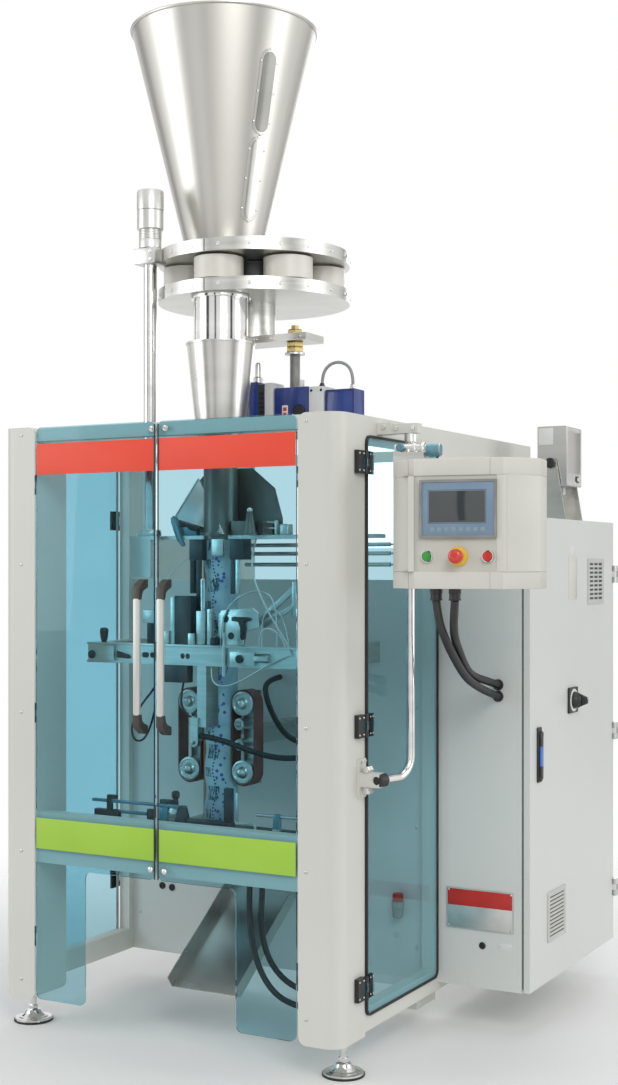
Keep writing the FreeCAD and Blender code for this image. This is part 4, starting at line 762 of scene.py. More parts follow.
hose("loop_hose_left_run", RUBBER, [
    (-386, 171, JAW_TIE), (-392, 168, 478), (-388, 166, 368), (-366, 168, 262), (-314, 172, 182),
    (-240, 178, SILL_MID + 3), (-136, 181, SILL_MID), (FRAME_IN, 182, SILL_MID + 2),
], HOSE_R, node="loop_hose_left")
hose("loop_hose_right_run", RUBBER, [
    (-345, 171, JAW_TIE), (-351, 177, 478), (-366, 190, 372), (-350, 200, 280), (-300, 206, 216),
    (-226, 210, 186), (-130, 212, SILL_MID + 14), (FRAME_IN, 212, SILL_MID + 12),
], HOSE_R, node="loop_hose_right")

# ---- frame, doors, hinges
POST_SCREWS_R = [(-105, 0, z) for z in (1856, 1454, 993, 589, 174)]
POST_SCREWS_L = [(-1121, 0, z) for z in (1856, 1454, 993, 560, 160)]
screws("post_screws", POST_SCREWS_R + POST_SCREWS_L, FORE)
SIDE_SCREW_PLACES = [(641, 991), (641, 408), (641, 1580)]
screws("side_screws_right", [(0, y, z) for y, z in SIDE_SCREW_PLACES], RIGHT)
screws("side_screws_left", [(-FRAME_W, y, z) for y, z in SIDE_SCREW_PLACES], LEFT)
REAR_SCREWS = [(x, FRAME_D, z) for x in (-20, -1180) for z in (240, 660, 1080, 1500, 1840)]
screws("rear_screws", REAR_SCREWS, AFT)
screws("wall_screws", [(x, INNER_WALL, z) for x in (-1130, -70) for z in (240, 620, 1000, 1380)], FORE)

# Each front door: its body, its left and right edge, its top bolt, its low bolt and which way is inward.
DOORS = {
    "left": ("front_door_left_body", -1063, -616, -628, (-631, 547), -1),
    "right": ("front_door_right_body", -608, -137, -580, (-582, 545), 1),
}
STRIPS = {"red": (STRIP_RED, 1731, 1827), "green": (STRIP_GREEN, 573, 668)}
for side, (body, left, right, bolt_x, low_bolt, inward) in DOORS.items():
    for tone, (material, low, top) in STRIPS.items():
        blocks(
            "strip_%s_%s" % (tone, side), material, [((left + 1.5, -0.5, low), (right - 1.5, 0, top))], 0.2,
            body,
        )
    lathes(
        "door_washer_" + side, ALUMINIUM, [(bolt_x, 0, 1856)], FORE,
        [(0, 0), (9, 0), (9, 1.2), (8.4, 1.6), (0, 1.6)], body,
    )
    screws("door_bolt_" + side, [(bolt_x, -1.6, 1856)], FORE, SOCKET, body=body)

HINGE_Z_R, HINGE_Z_L = (246, 993, 1744), (358, 1606)
rivets = [(14, y, z + dz) for z in HINGE_Z_R for y in (99, 125) for dz in (-24, 24)]
screws("hinge_rivets_right", rivets, RIGHT, RIVET)
rivets = [(14, y, z + dz) for z in HINGE_Z_R for y in (167, 183) for dz in (-24, 24)]
screws("strap_rivets_right", rivets, RIGHT, RIVET, body="side_door_right_body", scale=0.8)
rivets = [(-1214, y, z + dz) for z in HINGE_Z_L for y in (655, 681) for dz in (-24, 24)]
screws("hinge_rivets_left", rivets, LEFT, RIVET)

SHEET_R = 22
for side, x0, x1, y0, y1, body in (
    ("right", 0.5, 6.5, 160, 655, "side_door_right_body"),
    ("left", -1206.5, -1200.5, 135, 620, "side_door_left_body"),
):
    ring_frame(
        "side_gasket_" + side, RUBBER if side == "right" else GREY_PLASTIC,
        rounded(y0 - 2.2, y1 + 2.2, 155.8, 1824.2, SHEET_R + 2),
        rounded(y0 + 5, y1 - 5, 163, 1817, SHEET_R - 5), "x", x0 - 0.35, x1 + 1.2, body,
    )

# Dark rubber strips along the meeting edges of the front doors, darkening the sheet edges at the seam.
EDGE_STRIP_W, EDGE_STRIP_LOW, EDGE_STRIP_TOP = 4.5, 518, 1870
for side, (body, left, right, bolt_x, low_bolt, inward) in DOORS.items():
    meeting = right if inward < 0 else left
    low_x, high_x = sorted((meeting, meeting + inward * EDGE_STRIP_W))
    blocks("meeting_edge_strip_" + side, RUBBER, [((low_x, -2.2, EDGE_STRIP_LOW), (high_x, -0.1, EDGE_STRIP_TOP))], 0.6, body)

# Bar handles: satin bars between dark ends that lean back to the sheet.
HANDLE_OUT, HANDLE_W, HANDLE_IN, HANDLE_LOW, HANDLE_TOP, END = 46, 26, 38, 950, 1409, 60
for side, (body, left, right, bolt_x, low_bolt, inward) in DOORS.items():
    x = (right if inward < 0 else left) + inward * HANDLE_IN
    bar = blocks(
        "handle_bar_" + side, HANDLE_METAL,
        [
            (
                (x - 11.5, -HANDLE_OUT, HANDLE_LOW + END - 6),
                (x + 11.5, -HANDLE_OUT + 11, HANDLE_TOP - END + 6),
            ),
        ],
        3.5, body,
    )
    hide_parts("handle_" + side)
    bm = bmesh.new()
    for low, up in ((HANDLE_LOW, 1), (HANDLE_TOP, -1)):
        outline = [
            (-HANDLE_OUT - 0.0, low + up * END), (-HANDLE_OUT + 0.4, low + up * 26), (-34, low + up * 13),
            (-20, low + up * 3), (-13, low), (-0.3, low), (-0.3, low + up * 24), (-9, low + up * 25),
            (-20, low + up * 29), (-31, low + up * 37), (-33.5, low + up * END),
        ]
        add_prism(bm, outline, "x", x - HANDLE_W / 2, x + HANDLE_W / 2, 2.0)
    finish_mesh("handle_ends_" + side, bm, HANDLE_END, body)

# ---- feet
FOOT = [
    (0, 0), (60, 0), (60, 6), (58, 8), (58, 11), (56, 12), (50, 13.5), (48, 13), (46, 14.5), (40, 17),
    (38, 16.6), (36, 18.4), (30, 22), (26, 27), (22, 34), (17, 36), (10, 37),
]
FOOT_PLACES = [(-42, 106), (-1158, 106), (-20, 1400), (-1180, 1400)]
TOPS = [100, 100, 112, 112]
bm = bmesh.new()
for (x, y), top in zip(FOOT_PLACES, TOPS):
    add_lathe(bm, (x, y, 0), UP, FOOT + [(10, top), (0, top)], 48)
    add_lathe(bm, (x, y, top - 24), UP, [(0, 0), (17, 0), (18, 1.5), (18, 14.5), (17, 16), (0, 16)], 6)
    add_lathe(bm, (x, y, 38), UP, [(0, 0), (15, 0), (15.5, 1), (15.5, 11), (15, 12), (0, 12)], 6)
feet = finish_mesh("feet", bm, CHROME)
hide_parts("levelling_feet")
lathes(
    "foot_rubber", RUBBER, [(x, y, 0) for x, y in FOOT_PLACES], UP,
    [(0, 0), (61, 0), (62, 2), (61.5, 6), (60.2, 7), (60.2, 6.5)], segments=48,
)

# ---- hopper, turret and doser column
HX, HY, HOP_LOW, HOP_TOP, R_LOW, R_TOP = -715, 545, 2462.3, 3209, 122, 305


def on_cone(angle, z, out):
    """A point on the hopper wall, from its bearing in degrees and its height."""
    r = R_LOW + (R_TOP - R_LOW) * (z - HOP_LOW) / (HOP_TOP - HOP_LOW) + out
    a = math.radians(angle)
    return Vector((HX + r * math.cos(a), HY + r * math.sin(a), z))


def cone_pill(bm, bearing, low, top, half_mm, thick, out=0.3):
    """A rounded plate that follows the hopper wall; it is half_mm wide each side of its bearing."""
    rings = []
    steps = 34
    for i in range(steps + 1):
        t = i / steps
        z = low + (top - low) * (0.5 - 0.5 * math.cos(math.pi * t))
        edge = min(z - low, top - z)
        w = half_mm if edge >= half_mm else math.sqrt(max(0.0, half_mm ** 2 - (half_mm - edge) ** 2))
        r = R_LOW + (R_TOP - R_LOW) * (z - HOP_LOW) / (HOP_TOP - HOP_LOW)
        w = max(w, 0.6)
        row = []
        for k in range(7):
            a = bearing + math.degrees(w * (k - 3) / 3 / r)
            rise = thick - (0.8 if k in (0, 6) else 0)
            row.append((on_cone(a, z, out), on_cone(a, z, out + rise)))
        rings.append(row)
    grid = [[(bm.verts.new(a), bm.verts.new(b)) for a, b in row] for row in rings]
    for i in range(steps):
        for k in range(6):
            q = grid[i][k], grid[i][k + 1], grid[i + 1][k + 1], grid[i + 1][k]
            bm.faces.new([v[1] for v in q])
            bm.faces.new([v[0] for v in q][::-1])
        for k in (0, 6):
            bm.faces.new((grid[i][k][0], grid[i + 1][k][0], grid[i + 1][k][1], grid[i][k][1]))
    for i in (0, steps):
        for k in range(6):
            bm.faces.new((grid[i][k][0], grid[i][k + 1][0], grid[i][k + 1][1], grid[i][k][1]))


WINDOWS = [(-25.5, 2834, 3074, 24), (-27.0, 2569, 2810, 21)]
bm = bmesh.new()
for bearing, low, top, half in WINDOWS:
    cone_pill(bm, bearing, low - 9, top + 9, half + 9, 1.6)
finish_mesh("hopper_window_frames", bm, HOPPER_STEEL)
# The upper window takes the darker copy (painted shade), the lower the lighter one (painted reflection).
for (bearing, low, top, half), material, word in zip(
    WINDOWS, (WINDOW_PAINTED_SHADE, WINDOW_PAINTED_REFLECTION), ("upper", "lower"),
):
    bm = bmesh.new()
    cone_pill(bm, bearing, low, top, half, 1.6, 1.4)
    finish_mesh("hopper_window_" + word, bm, material)
bm = bmesh.new()
for bearing, low, top, half in WINDOWS:
    for z, side in (
        (top - 30, -1), (top - 30, 1), ((low + top) / 2, -1), ((low + top) / 2, 1), (low + 30, -1),
        (low + 30, 1), (top + 8, 0), (low - 8, 0),
    ):
        r = R_LOW + (R_TOP - R_LOW) * (z - HOP_LOW) / (HOP_TOP - HOP_LOW)
        a = bearing + side * math.degrees((half + 6) / r)
        point = on_cone(a, z, 1.4)
        out = Vector((math.cos(math.radians(a)), math.sin(math.radians(a)), -0.24))
        add_lathe(bm, point, out, [(r2 * 1.2, h * 1.2) for r2, h in RIVET], 12)
finish_mesh("hopper_rivets", bm, CHROME)
lathes(
    "hopper_flange", HOPPER_STEEL, [(HX, HY, HOP_LOW + 20)], UP,
    [(127.5, -19.5), (150, -19.5), (151, -18.5), (151, -14), (150, -13), (130.5, -13)], segments=64,
)
lathes(
    "hopper_flange_screws", CHROME,
    [
        (HX + 141 * math.cos(math.radians(a)), HY + 141 * math.sin(math.radians(a)), HOP_LOW + 7)
        for a in range(15, 375, 60)
    ],
    UP, [(r * 1.2, h * 1.2) for r, h in SOCKET], segments=14,
)

TX, TY, DISC_R = -600, 545, 312
DISC_LEVELS = ((2300, 2340), (2422, 2462))
bm = bmesh.new()
for low, top in DISC_LEVELS:
    for a in range(-170, 190, 18):
        t = math.radians(a)
        out = Vector((math.cos(t), math.sin(t), 0))
        add_lathe(
            bm, Vector((TX, TY, (low + top) / 2)) + out * (DISC_R - 1), out,
            [(r * 1.1, h * 0.75) for r, h in SOCKET], 14,
        )
finish_mesh("turret_screws", bm, CHROME)
bm = bmesh.new()
for low, top in DISC_LEVELS:
    for a in range(-161, 199, 36):
        t = math.radians(a)
        out, side = Vector((math.cos(t), math.sin(t), 0)), Vector((-math.sin(t), math.cos(t), 0))
        centre = Vector((TX, TY, 0)) + out * DISC_R
        verts = []
        for z in (low + 1, top - 1):
            for s, o in ((-3.2, -1.2), (-2.4, 0.7), (2.4, 0.7), (3.2, -1.2)):
                verts.append(bm.verts.new(centre + side * s + out * o + Vector((0, 0, z))))
        for k in range(4):
            n = (k + 1) % 4
            bm.faces.new((verts[k], verts[n], verts[n + 4], verts[k + 4]))
        bm.faces.new(verts[:4][::-1])
        bm.faces.new(verts[4:])
finish_mesh("turret_rim_ribs", bm, CHROME)
lathes(
    "turret_hub_dark", DARK_STEEL, [(TX, TY, 2343)], UP,
    [(146, 0), (146, 8), (144, 9), (144, 66), (146, 67), (146, 74)], body="cups_body", segments=64,
)

CX, CY = -842, 300
bar = lathes("column_bar", CHROME, [(CX, CY, 1544)], UP, [(0, 0), (21, 0), (21, 920), (0, 920)], segments=48)
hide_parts("doser_column")
ribs = []
for k in range(6):
    ribs += [(37, 32 + k * 5), (34.5, 33 + k * 5), (34.5, 36 + k * 5)]
lathes(
    "column_cap", SATIN, [(CX, CY, 2462)], UP,
    [(0, 2), (34, 2), (36, 4), (36, 29), (35, 31)] + ribs
    + [(40, 62), (42, 64), (42, 122), (40.5, 123), (43, 125), (43, 183), (41, 187), (0, 188)], segments=64,
)
grip = [
    ((CX - 44, CY - 34, 2412), (CX + 40, CY + 34, 2464)),
    ((CX + 10, CY + 14, 2426), (-812, CY + 74, 2458)),
]
blocks("column_grip", SATIN, grip, 5)
lathes(
    "grip_bolt", CHROME, [(CX - 44, CY - 16, 2430)], LEFT,
    [(0, 0), (5, 0), (5, 1), (3, 1), (3, 2.6), (0, 2.6)], segments=16,
)
screws("grip_screws", [(CX + 24, CY - 34, 2425), (CX + 24, CY - 34, 2450)], FORE, SOCKET, CHROME, scale=0.9)
lathes(
    "shelf_collar", SATIN, [(CX, CY, 1544.3)], UP,
    [(21.2, 0), (36, 0), (37, 2), (37, 16), (34, 20), (21.2, 20)], segments=48,
)
screws("shelf_screws", [(CX - 40, CY - 15, 1544), (CX + 30, CY - 15, 1544)], UP, SOCKET, CHROME, scale=1.1)

# ---- drive boxes and adjusting screw
SX, SY, BASE = -439, 530, FRAME_H
drives = [
    ("drive_left", BLUE, (-589, 480, BASE), (-549, 551, 2041)),
    ("drive_mid", BLUE, (-487, 480, BASE), (-363, 551, 2017)),
    ("drive_right", BLUE, (-302, 480, BASE), (-199, 551, 2002)),
    ("drive_divider", WHITE, (-521, 476, BASE), (-491, 551, 2035)),
    ("drive_plate", WHITE, (-359, 476, BASE), (-306, 551, 2014)),
    ("drive_black", DARK_STEEL, (-549, 482, BASE), (-523, 551, 2032)),
]
for word, material, low, high in drives:
    thing = blocks(word, material, [(low, high)], 3 if material is BLUE else 1.5)
    if word == "drive_left":
        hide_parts("doser_drive")
louvres = []
for k in range(8):
    louvres.append(((-547, 479.4, 1896 + k * 15), (-525, 482.2, 1904 + k * 15)))
blocks("drive_louvres", BLACK, louvres, 1)
blocks(
    "drive_links", DARK_STEEL,
    [
        ((-492, 490, BASE), (-486, 545, 2000)), ((-364, 490, BASE), (-358, 545, 2000)),
        ((-307, 490, BASE), (-301, 545, 1990)),
    ],
    1,
)
ring_frame(
    "drive_right_edge", BLUE_DARK, rounded(-301, -200, 1882, 2001, 4), rounded(-296, -205, 1888, 1995, 3),
    "y", 478.6, 480.4,
)
lathes(
    "drive_cap", BLACK, [(-396, 480, 1938)], FORE,
    [(0, 0), (23, 0), (23, 3), (21, 6), (20, 7), (19, 5.6), (0, 5.2)], segments=40,
)
blocks("drive_label", CREAM, [((-458, 479.2, 1918), (-437, 480.2, 1960))], 0.3)
blocks(
    "drive_label_marks", RED,
    [((-454, 478.8, 1924), (-441, 479.4, 1937)), ((-454, 478.8, 1942), (-441, 479.4, 1954))], 0.2,
)
screws(
    "drive_plate_screws", [(x, 476, z) for x in (-350, -315) for z in (1892, 2002)], FORE, DOME, BLACK,
    scale=0.8,
)
blocks(
    "drive_hook", SATIN, [((-415, 500, 2017), (-400, 520, 2022)), ((-403, 500, 2017), (-398, 520, 2042))],
    1.5,
)
lathes(
    "drive_cap_left", SATIN, [(-568, 515, 2041)], UP,
    [(0, 0), (15, 0), (15, 16), (10, 20), (9, 60), (6, 66), (0, 67)], segments=24,
)
lathes(
    "cable_socket", SATIN, [(-222, 515, 2002)], UP,
    [(0, 0), (12, 0), (12, 7), (9.5, 8), (9.5, 14), (7, 16), (0, 16)], segments=6,
)
lathes(
    "cable_gland", DARK_STEEL, [(-332, 515, 2013.8)], UP,
    [(0, 0), (11, 0), (11, 5), (8, 8), (6.5, 14), (0, 14)], segments=18,
)
thread = []
for k in range(56):
    thread += [(15.2, k * 2.7), (17, k * 2.7 + 1.2)]
rod = lathes(
    "adjusting_rod", THREAD, [(SX, SY, 2017)], UP, [(0, 0)] + thread + [(15.2, 151), (0, 151)], segments=28,
)
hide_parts("adjusting_screw")
NUT = [(0, 0), (27, 0), (30, 2.5), (30, 15), (27, 17.5), (0, 17.5)]
lathes("adjusting_nuts", BRASS, [(SX, SY, 2132), (SX, SY, 2149.5)], UP, NUT, segments=6)
lathes(
    "adjusting_top", BRASS, [(SX, SY, 2190)], UP,
    [(0, 0), (24, 0), (26, 2), (26, 14), (22, 17), (14, 18), (13, 30), (0, 31)], segments=6,
)
lathes("adjusting_washer", SATIN, [(SX, SY, 2126)], UP, [(17, 0), (33, 0), (33, 6), (17, 6)], segments=32)
screws("bearing_screws", [(x, 485, 2178) for x in (-640, -560, -500, -400)], FORE, SOCKET, CHROME, scale=0.9)

# ---- drop tube and funnel trims
DX, DY = -600, 340
lathes(
    "drop_collar", CHROME, [(DX, DY, 2286)], UP,
    [(86.2, 0), (94, 0), (95, 1.5), (95, 12), (94, 13.5), (86.2, 13.5)], segments=64,
)
lathes(
    "funnel_rim", STEEL, [(DX, DY, 2143)], UP, [(104, 0), (110.5, 0), (111, 2), (111, 6.5), (104, 7)],
    segments=64,
)

# ---- operator panel
P_BODY = "panel_body"
E0, E1, N_FRONT, N_BACK, P_LOW, P_TOP, CH = -4, 412, -247, -77, 1386, 1740, 84
CAP_H, REC = 47, 5
CX_P = (E0 + E1) / 2


bm = bmesh.new()
SEAMS = (E0 + 62, E1 - CH - 36)
for low, high in ((P_LOW, P_LOW + CAP_H), (P_TOP - CAP_H, P_TOP)):
    left = [
        (E0, N_BACK), (E0, N_FRONT + CH), (SEAMS[0] - 0.4, N_FRONT + CH + E0 - SEAMS[0]),
        (SEAMS[0] - 0.4, N_BACK),
    ]
    middle = [
        (SEAMS[0] + 0.4, N_BACK), (SEAMS[0] + 0.4, N_FRONT + CH + E0 - SEAMS[0]), (E0 + CH, N_FRONT),
        (SEAMS[1] - 0.4, N_FRONT), (SEAMS[1] - 0.4, N_BACK),
    ]
    right = [
        (SEAMS[1] + 0.4, N_BACK), (SEAMS[1] + 0.4, N_FRONT), (E1 - CH, N_FRONT), (E1, N_FRONT + CH),
        (E1, N_BACK),
    ]
    for outline in (left, middle, right):
        add_prism(bm, outline, "z", low, high, 2.5)
caps = finish_mesh("panel_caps", bm, PANEL_PAINT, P_BODY, PANEL)
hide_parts("panel_housing")
MID_LOW, MID_HIGH = P_LOW + CAP_H - 1, P_TOP - CAP_H + 1
prism(
    "panel_core", PANEL_FACE,
    [
        (E0 + 4, N_BACK + 1), (E0 + 4, N_FRONT + CH), (E0 + CH - 8, N_FRONT + REC),
        (E1 - CH + 8, N_FRONT + REC), (E1 - 4, N_FRONT + CH), (E1 - 4, N_BACK + 1),
    ],
    "z", MID_LOW, MID_HIGH, 0, P_BODY, PANEL,
)


def profile_bar(bm, along_e, side):
    """A bevelled corner profile with rounded long edges, between the two caps."""
    e_in, e_out = along_e
    points = [
        (e_in, N_FRONT + REC + 1), (e_in, N_FRONT + 3.5), (e_in + side * 3, N_FRONT + 0.8),
        (e_in + side * 8, N_FRONT + 0.2), (e_out - side * CH, N_FRONT + 0.2),
        (e_out - side * (CH - 5), N_FRONT + 2.2), (e_out - side * 3, N_FRONT + CH - 5),
        (e_out - side * 0.4, N_FRONT + CH), (e_out - side * 0.4, N_BACK + 0.4),
        (e_out - side * 5, N_BACK + 0.4), (e_out - side * 5, N_FRONT + CH + 6),
    ]
    add_prism(bm, points if side > 0 else points[::-1], "z", MID_LOW + 1, MID_HIGH - 1)


bm = bmesh.new()
profile_bar(bm, (E0 + CH - 8, E0), -1)
profile_bar(bm, (E1 - CH - 20, E1), 1)
finish_mesh("panel_profiles", bm, PANEL_PAINT, P_BODY, PANEL, 30)
FACE_N = N_FRONT + REC
blocks(
    "panel_back_plate", PANEL_PAINT, [((E0 + 30, N_BACK - 1, P_LOW + 24), (E1 - 30, N_BACK, P_TOP - 24))],
    0.4, P_BODY, PANEL,
)
screws(
    "panel_back_screws", [(e, N_BACK, z) for e in (60, 348) for z in (1430, 1696)], AFT, DOME, body=P_BODY,
    place=PANEL,
)

SC_LOW, SC_W, SC_H = 1524, 214, 158
S0, S1, SZ0, SZ1 = CX_P - SC_W / 2, CX_P + SC_W / 2, SC_LOW, SC_LOW + SC_H
bezel = ring_frame(
    "screen_bezel", BEZEL, rounded(S0, S1, SZ0, SZ1, 3), rounded(S0 + 7, S1 - 7, SZ0 + 7, SZ1 - 7, 2),
    "y", N_FRONT - 6.5, FACE_N, P_BODY, PANEL,
)
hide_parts("touch_screen")
blocks(
    "screen_face", SCREEN_FACE, [((S0 + 6, N_FRONT - 4.4, SZ0 + 6), (S1 - 6, FACE_N, SZ1 - 6))], 0.6,
    P_BODY, PANEL,
)
blocks(
    "screen_glass", SCREEN, [((S0 + 27, N_FRONT - 5.2, SZ0 + 42), (S1 - 32, N_FRONT - 4.2, SZ1 - 31))], 0.4,
    P_BODY, PANEL,
)
keys = []
for k in range(8):
    e = S0 + 30 + k * 20
    keys.append(((e, N_FRONT - 5.0, SZ0 + 17), (e + 12, N_FRONT - 4.2, SZ0 + 29)))
blocks("screen_keys", SCREEN_KEY, keys, 0.3, P_BODY, PANEL)
ring_frame(
    "screen_line", SCREEN, rounded(S0 + 24, S1 - 29, SZ0 + 39, SZ1 - 28, 1),
    rounded(S0 + 25, S1 - 30, SZ0 + 40, SZ1 - 29, 1), "y", N_FRONT - 4.7, N_FRONT - 4.2, P_BODY, PANEL,
)

BZ = 1474
START_E, STOP_E = CX_P - 87, CX_P + 82
COLLAR = [(13.6, 0), (17.5, 0), (17.5, 7), (16.2, 9.6), (14.2, 9.8), (13.6, 8.4)]
lathes(
    "button_collars", CHROME, [(START_E, FACE_N, BZ), (STOP_E, FACE_N, BZ)], FORE, COLLAR, P_BODY, PANEL,
    40,
)
PUSH = [(0, -12), (13, -12), (13, 8.6), (12.2, 9.6), (7, 9.9), (0, 10)]
green = lathes("start_cap", GREEN, [(START_E, N_FRONT, BZ)], FORE, PUSH, "start_button_body", PANEL, 40)
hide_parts("start_button")
red = lathes("stop_cap", RED, [(STOP_E, N_FRONT, BZ)], FORE, PUSH, "stop_button_body", PANEL, 40)
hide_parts("stop_button")
ring = lathes(
    "emergency_disc", YELLOW, [(CX_P, FACE_N, BZ)], FORE,
    [(12, 0), (27, 0), (27, 6.4), (26, 7.2), (12, 7.4)], P_BODY, PANEL, 96, teeth=24, depth=1.8,
)
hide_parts("emergency_ring")
MUSHROOM = [
    (0, -8), (11, -8), (11, 10), (13, 12), (13, 17), (16, 18.5), (19.6, 20), (20, 22.5), (20, 31), (19, 35),
    (15.5, 38.4), (10, 39.8), (8.5, 38.6), (6, 38.2), (0, 38.2),
]
head = lathes(
    "emergency_head", RED, [(CX_P, N_FRONT, BZ)], FORE, MUSHROOM, "emergency_stop_body", PANEL, 60,
    teeth=15, depth=0.5,
)
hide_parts("emergency_stop")
GLAND = [(0, 0), (17, 0), (17, 4), (15.5, 5), (15.5, 18), (17, 19), (17, 33), (0, 33)]
lathes("conduit_glands", BLACK, [(e, n, P_LOW - 32) for e, n in GLANDS], UP, GLAND, P_BODY, PANEL, 24)

# ---- support tube and clamp
lathes(
    "clamp_end", CLAMP_BLUE, [(98, -26, 1780)], LEFT, [(0, 0), (16, 0), (19.4, 3), (19.4, 42), (0, 42)],
    P_BODY, PANEL, 40,
)
lathes(
    "clamp_bands", SATIN, [(16, -26, 1780), (40, -26, 1780)], RIGHT,
    [(21, 0), (23.5, 0.6), (24, 2), (24, 10), (23.5, 11.4), (21, 12)], P_BODY, PANEL, 48,
)
lathes(
    "clamp_knob", CLAMP_BLUE, [(-12, -45, 1786)], (-0.2, -1, 0.1),
    [(0, 0), (6, 0), (6, 5), (11, 7), (12, 10), (12, 18), (10, 20), (0, 20)], P_BODY, PANEL, 20,
)
blocks(
    "clamp_lever", SATIN, [((2, -52, 1752), (10, -44, 1784)), ((26, -50, 1754), (33, -44, 1778))], 3,
    P_BODY, PANEL,
)
screws(
    "clamp_screws", [(-18, -46, 1772), (8, -50, 1768), (52, -44, 1772)], FORE, SOCKET, CHROME, P_BODY,
    PANEL, 0.9,
)
screws("clamp_top_screws", [(10, -26, 1801), (46, -26, 1799)], UP, SOCKET, CHROME, P_BODY, PANEL, 0.8)

LOW_Z = 842
LEAN = math.radians(14)
cap_place = (TUBE_X - 148 * math.sin(LEAN), TUBE_Y - 148 * math.cos(LEAN), LOW_Z)
lathes(
    "tube_end_cap", BLACK, [cap_place], (-math.sin(LEAN), -math.cos(LEAN), 0),
    [(0, -30), (19.4, -30), (19.4, 1.5), (18, 3.4), (15, 4.2), (0, 4.4)], segments=40,
)
lathes(
    "bracket_bolts", CHROME, [(30, 112, LOW_Z + 30), (30, 112, LOW_Z - 30)], FORE,
    [(0, -24), (11, -24), (11, 4), (9.5, 6), (0, 6)], segments=6,
)
screws(
    "bracket_plate_screws", [(8, y, z) for y in (114, 144) for z in (LOW_Z - 44, LOW_Z + 50)], RIGHT,
    SOCKET, CHROME, scale=0.8,
)
screws(
    "top_bracket_screws", [(23, 236, 1850), (58, 246, 1846), (112, 246, 1846)], FORE, SOCKET, CHROME,
    scale=1.1,
)
lathes(
    "tube_top_collar", SATIN, [(TUBE_X, TUBE_Y, 1806)], UP,
    [(12.2, 0), (17, 0), (18, 1), (18, 24), (12.2, 24)], segments=40,
)

# ---- display box on the cabinet
BX0, BX1, BY0, BY1, BZ0, BZ1 = 148, 250, 1161, 1315, 1718, 1920
blocks("display_label", LABEL, [((BX0 + 4, BY0 - 0.5, BZ1 - 62), (BX0 + 56, BY0 + 0.1, BZ1 - 6))], 0.2)
ring_frame(
    "display_lid", SATIN, rounded(BY0 + 4, BY1 - 4, BZ0 + 4, BZ1 - 4, 6),
    rounded(BY0 + 16, BY1 - 16, BZ0 + 18, BZ1 - 16, 3), "x", BX1, BX1 + 1.6,
)
blocks("display_door", DOOR_PANEL, [((BX1, BY0 + 18, BZ0 + 44), (BX1 + 1.0, BY1 - 18, BZ1 - 18))], 0.4)
blocks("display_switch", DARK_STEEL, [((BX1, BY0 + 96, BZ0 + 14), (BX1 + 3, BY0 + 122, BZ0 + 36))], 1)
lathes(
    "display_switch_dot", WHITE, [(BX1 + 3, BY0 + 109, BZ0 + 25)], RIGHT,
    [(0, 0), (7, 0), (7, 2), (5, 3.4), (0, 3.6)], segments=24,
)
ring_frame(
    "yoke_edge", SATIN, rounded(BX0 + 30, BX1 - 30, 1776, 1814, 19),
    rounded(BX0 + 34, BX1 - 34, 1780, 1810, 15), "y", BY0 - 11, BY0 - 9.8,
)
lathes(
    "yoke_knobs", BLACK, [(199, BY0 - 10, 1795)], FORE,
    [(0, 0), (17, 0), (18, 2), (18, 11), (16, 14), (0, 14.6)], segments=48, teeth=12, depth=1.2,
)
lathes(
    "yoke_knob_rear", BLACK, [(199, BY1 + 10, 1795)], AFT,
    [(0, 0), (17, 0), (18, 2), (18, 11), (16, 14), (0, 14.6)], segments=48, teeth=12, depth=1.2,
)
blocks("display_plug", WHITE, [((190, 1228, 1690), (216, 1254, 1718))], 3)
hose(
    "display_lead", BLACK,
    [
        (203, 1241, 1690), (203, 1241, 1672), (206, 1236, 1655), (203, 1230, 1638), (196, 1228, 1620),
        (195, 1228, 1600),
    ],
    3,
)

# ---- cabinet
CAB_X, LEAF_OUT, CAB_LOW, CAB_TOP = 282, 308, 138, 1600
ring_frame(
    "cabinet_seal", RUBBER, rounded(CAB_FRONT + 8, 1478, CAB_LOW + 8, CAB_TOP - 8, 8),
    rounded(CAB_FRONT + 26, 1462, CAB_LOW + 26, CAB_TOP - 26, 6), "x", CAB_X,
    CAB_X + 5.4,
)
VENT_U = (1206, 1373, 1320, 1474)
DOOR_BODY = "cabinet_door_body"


def vent(name, y0, y1, z0, z1, columns, rows, tall):
    ring_frame(
        name + "_frame", VENT_GREY, rounded(y0, y1, z0, z1, 4),
        rounded(y0 + 14, y1 - 14, z0 + 12, z1 - 12, 3), "x", LEAF_OUT, LEAF_OUT + 4, DOOR_BODY,
    )
    # A dark plate just behind the bars: painted shade in the vent openings.
    blocks(
        name + "_back", DARK_STEEL, [((LEAF_OUT, y0 + 13, z0 + 11), (LEAF_OUT + 0.8, y1 - 13, z1 - 11))],
        0.2, DOOR_BODY,
    )
    bars = []
    step = (z1 - z0 - 24) / rows
    for k in range(rows + 1):
        z = z0 + 12 + k * step
        bars.append(((LEAF_OUT + 0.6, y0 + 13, z - step * tall), (LEAF_OUT + 3.4, y1 - 13, z + step * tall)))
    wide = (y1 - y0 - 28) / columns
    for k in range(columns + 1):
        y = y0 + 14 + k * wide
        bars.append(((LEAF_OUT + 0.6, y - 4, z0 + 11), (LEAF_OUT + 3.6, y + 4, z1 - 11)))
    blocks(name + "_bars", VENT_GREY, bars, 0.8, DOOR_BODY)


vent("vent_upper", *VENT_U, 3, 9, 0.26)
vent("vent_lower", 818, 984, 262, 420, 1, 11, 0.34)
prism("door_patch", PATCH, rounded(1016, 1100, 1338, 1482, 14), "x", LEAF_OUT, LEAF_OUT + 1.2, 0.4, DOOR_BODY)
prism(
    "door_patch_top", LABEL, rounded(1036, 1080, 1482, 1512, 6), "x", LEAF_OUT, LEAF_OUT + 1.2, 0.4,
    DOOR_BODY,
)

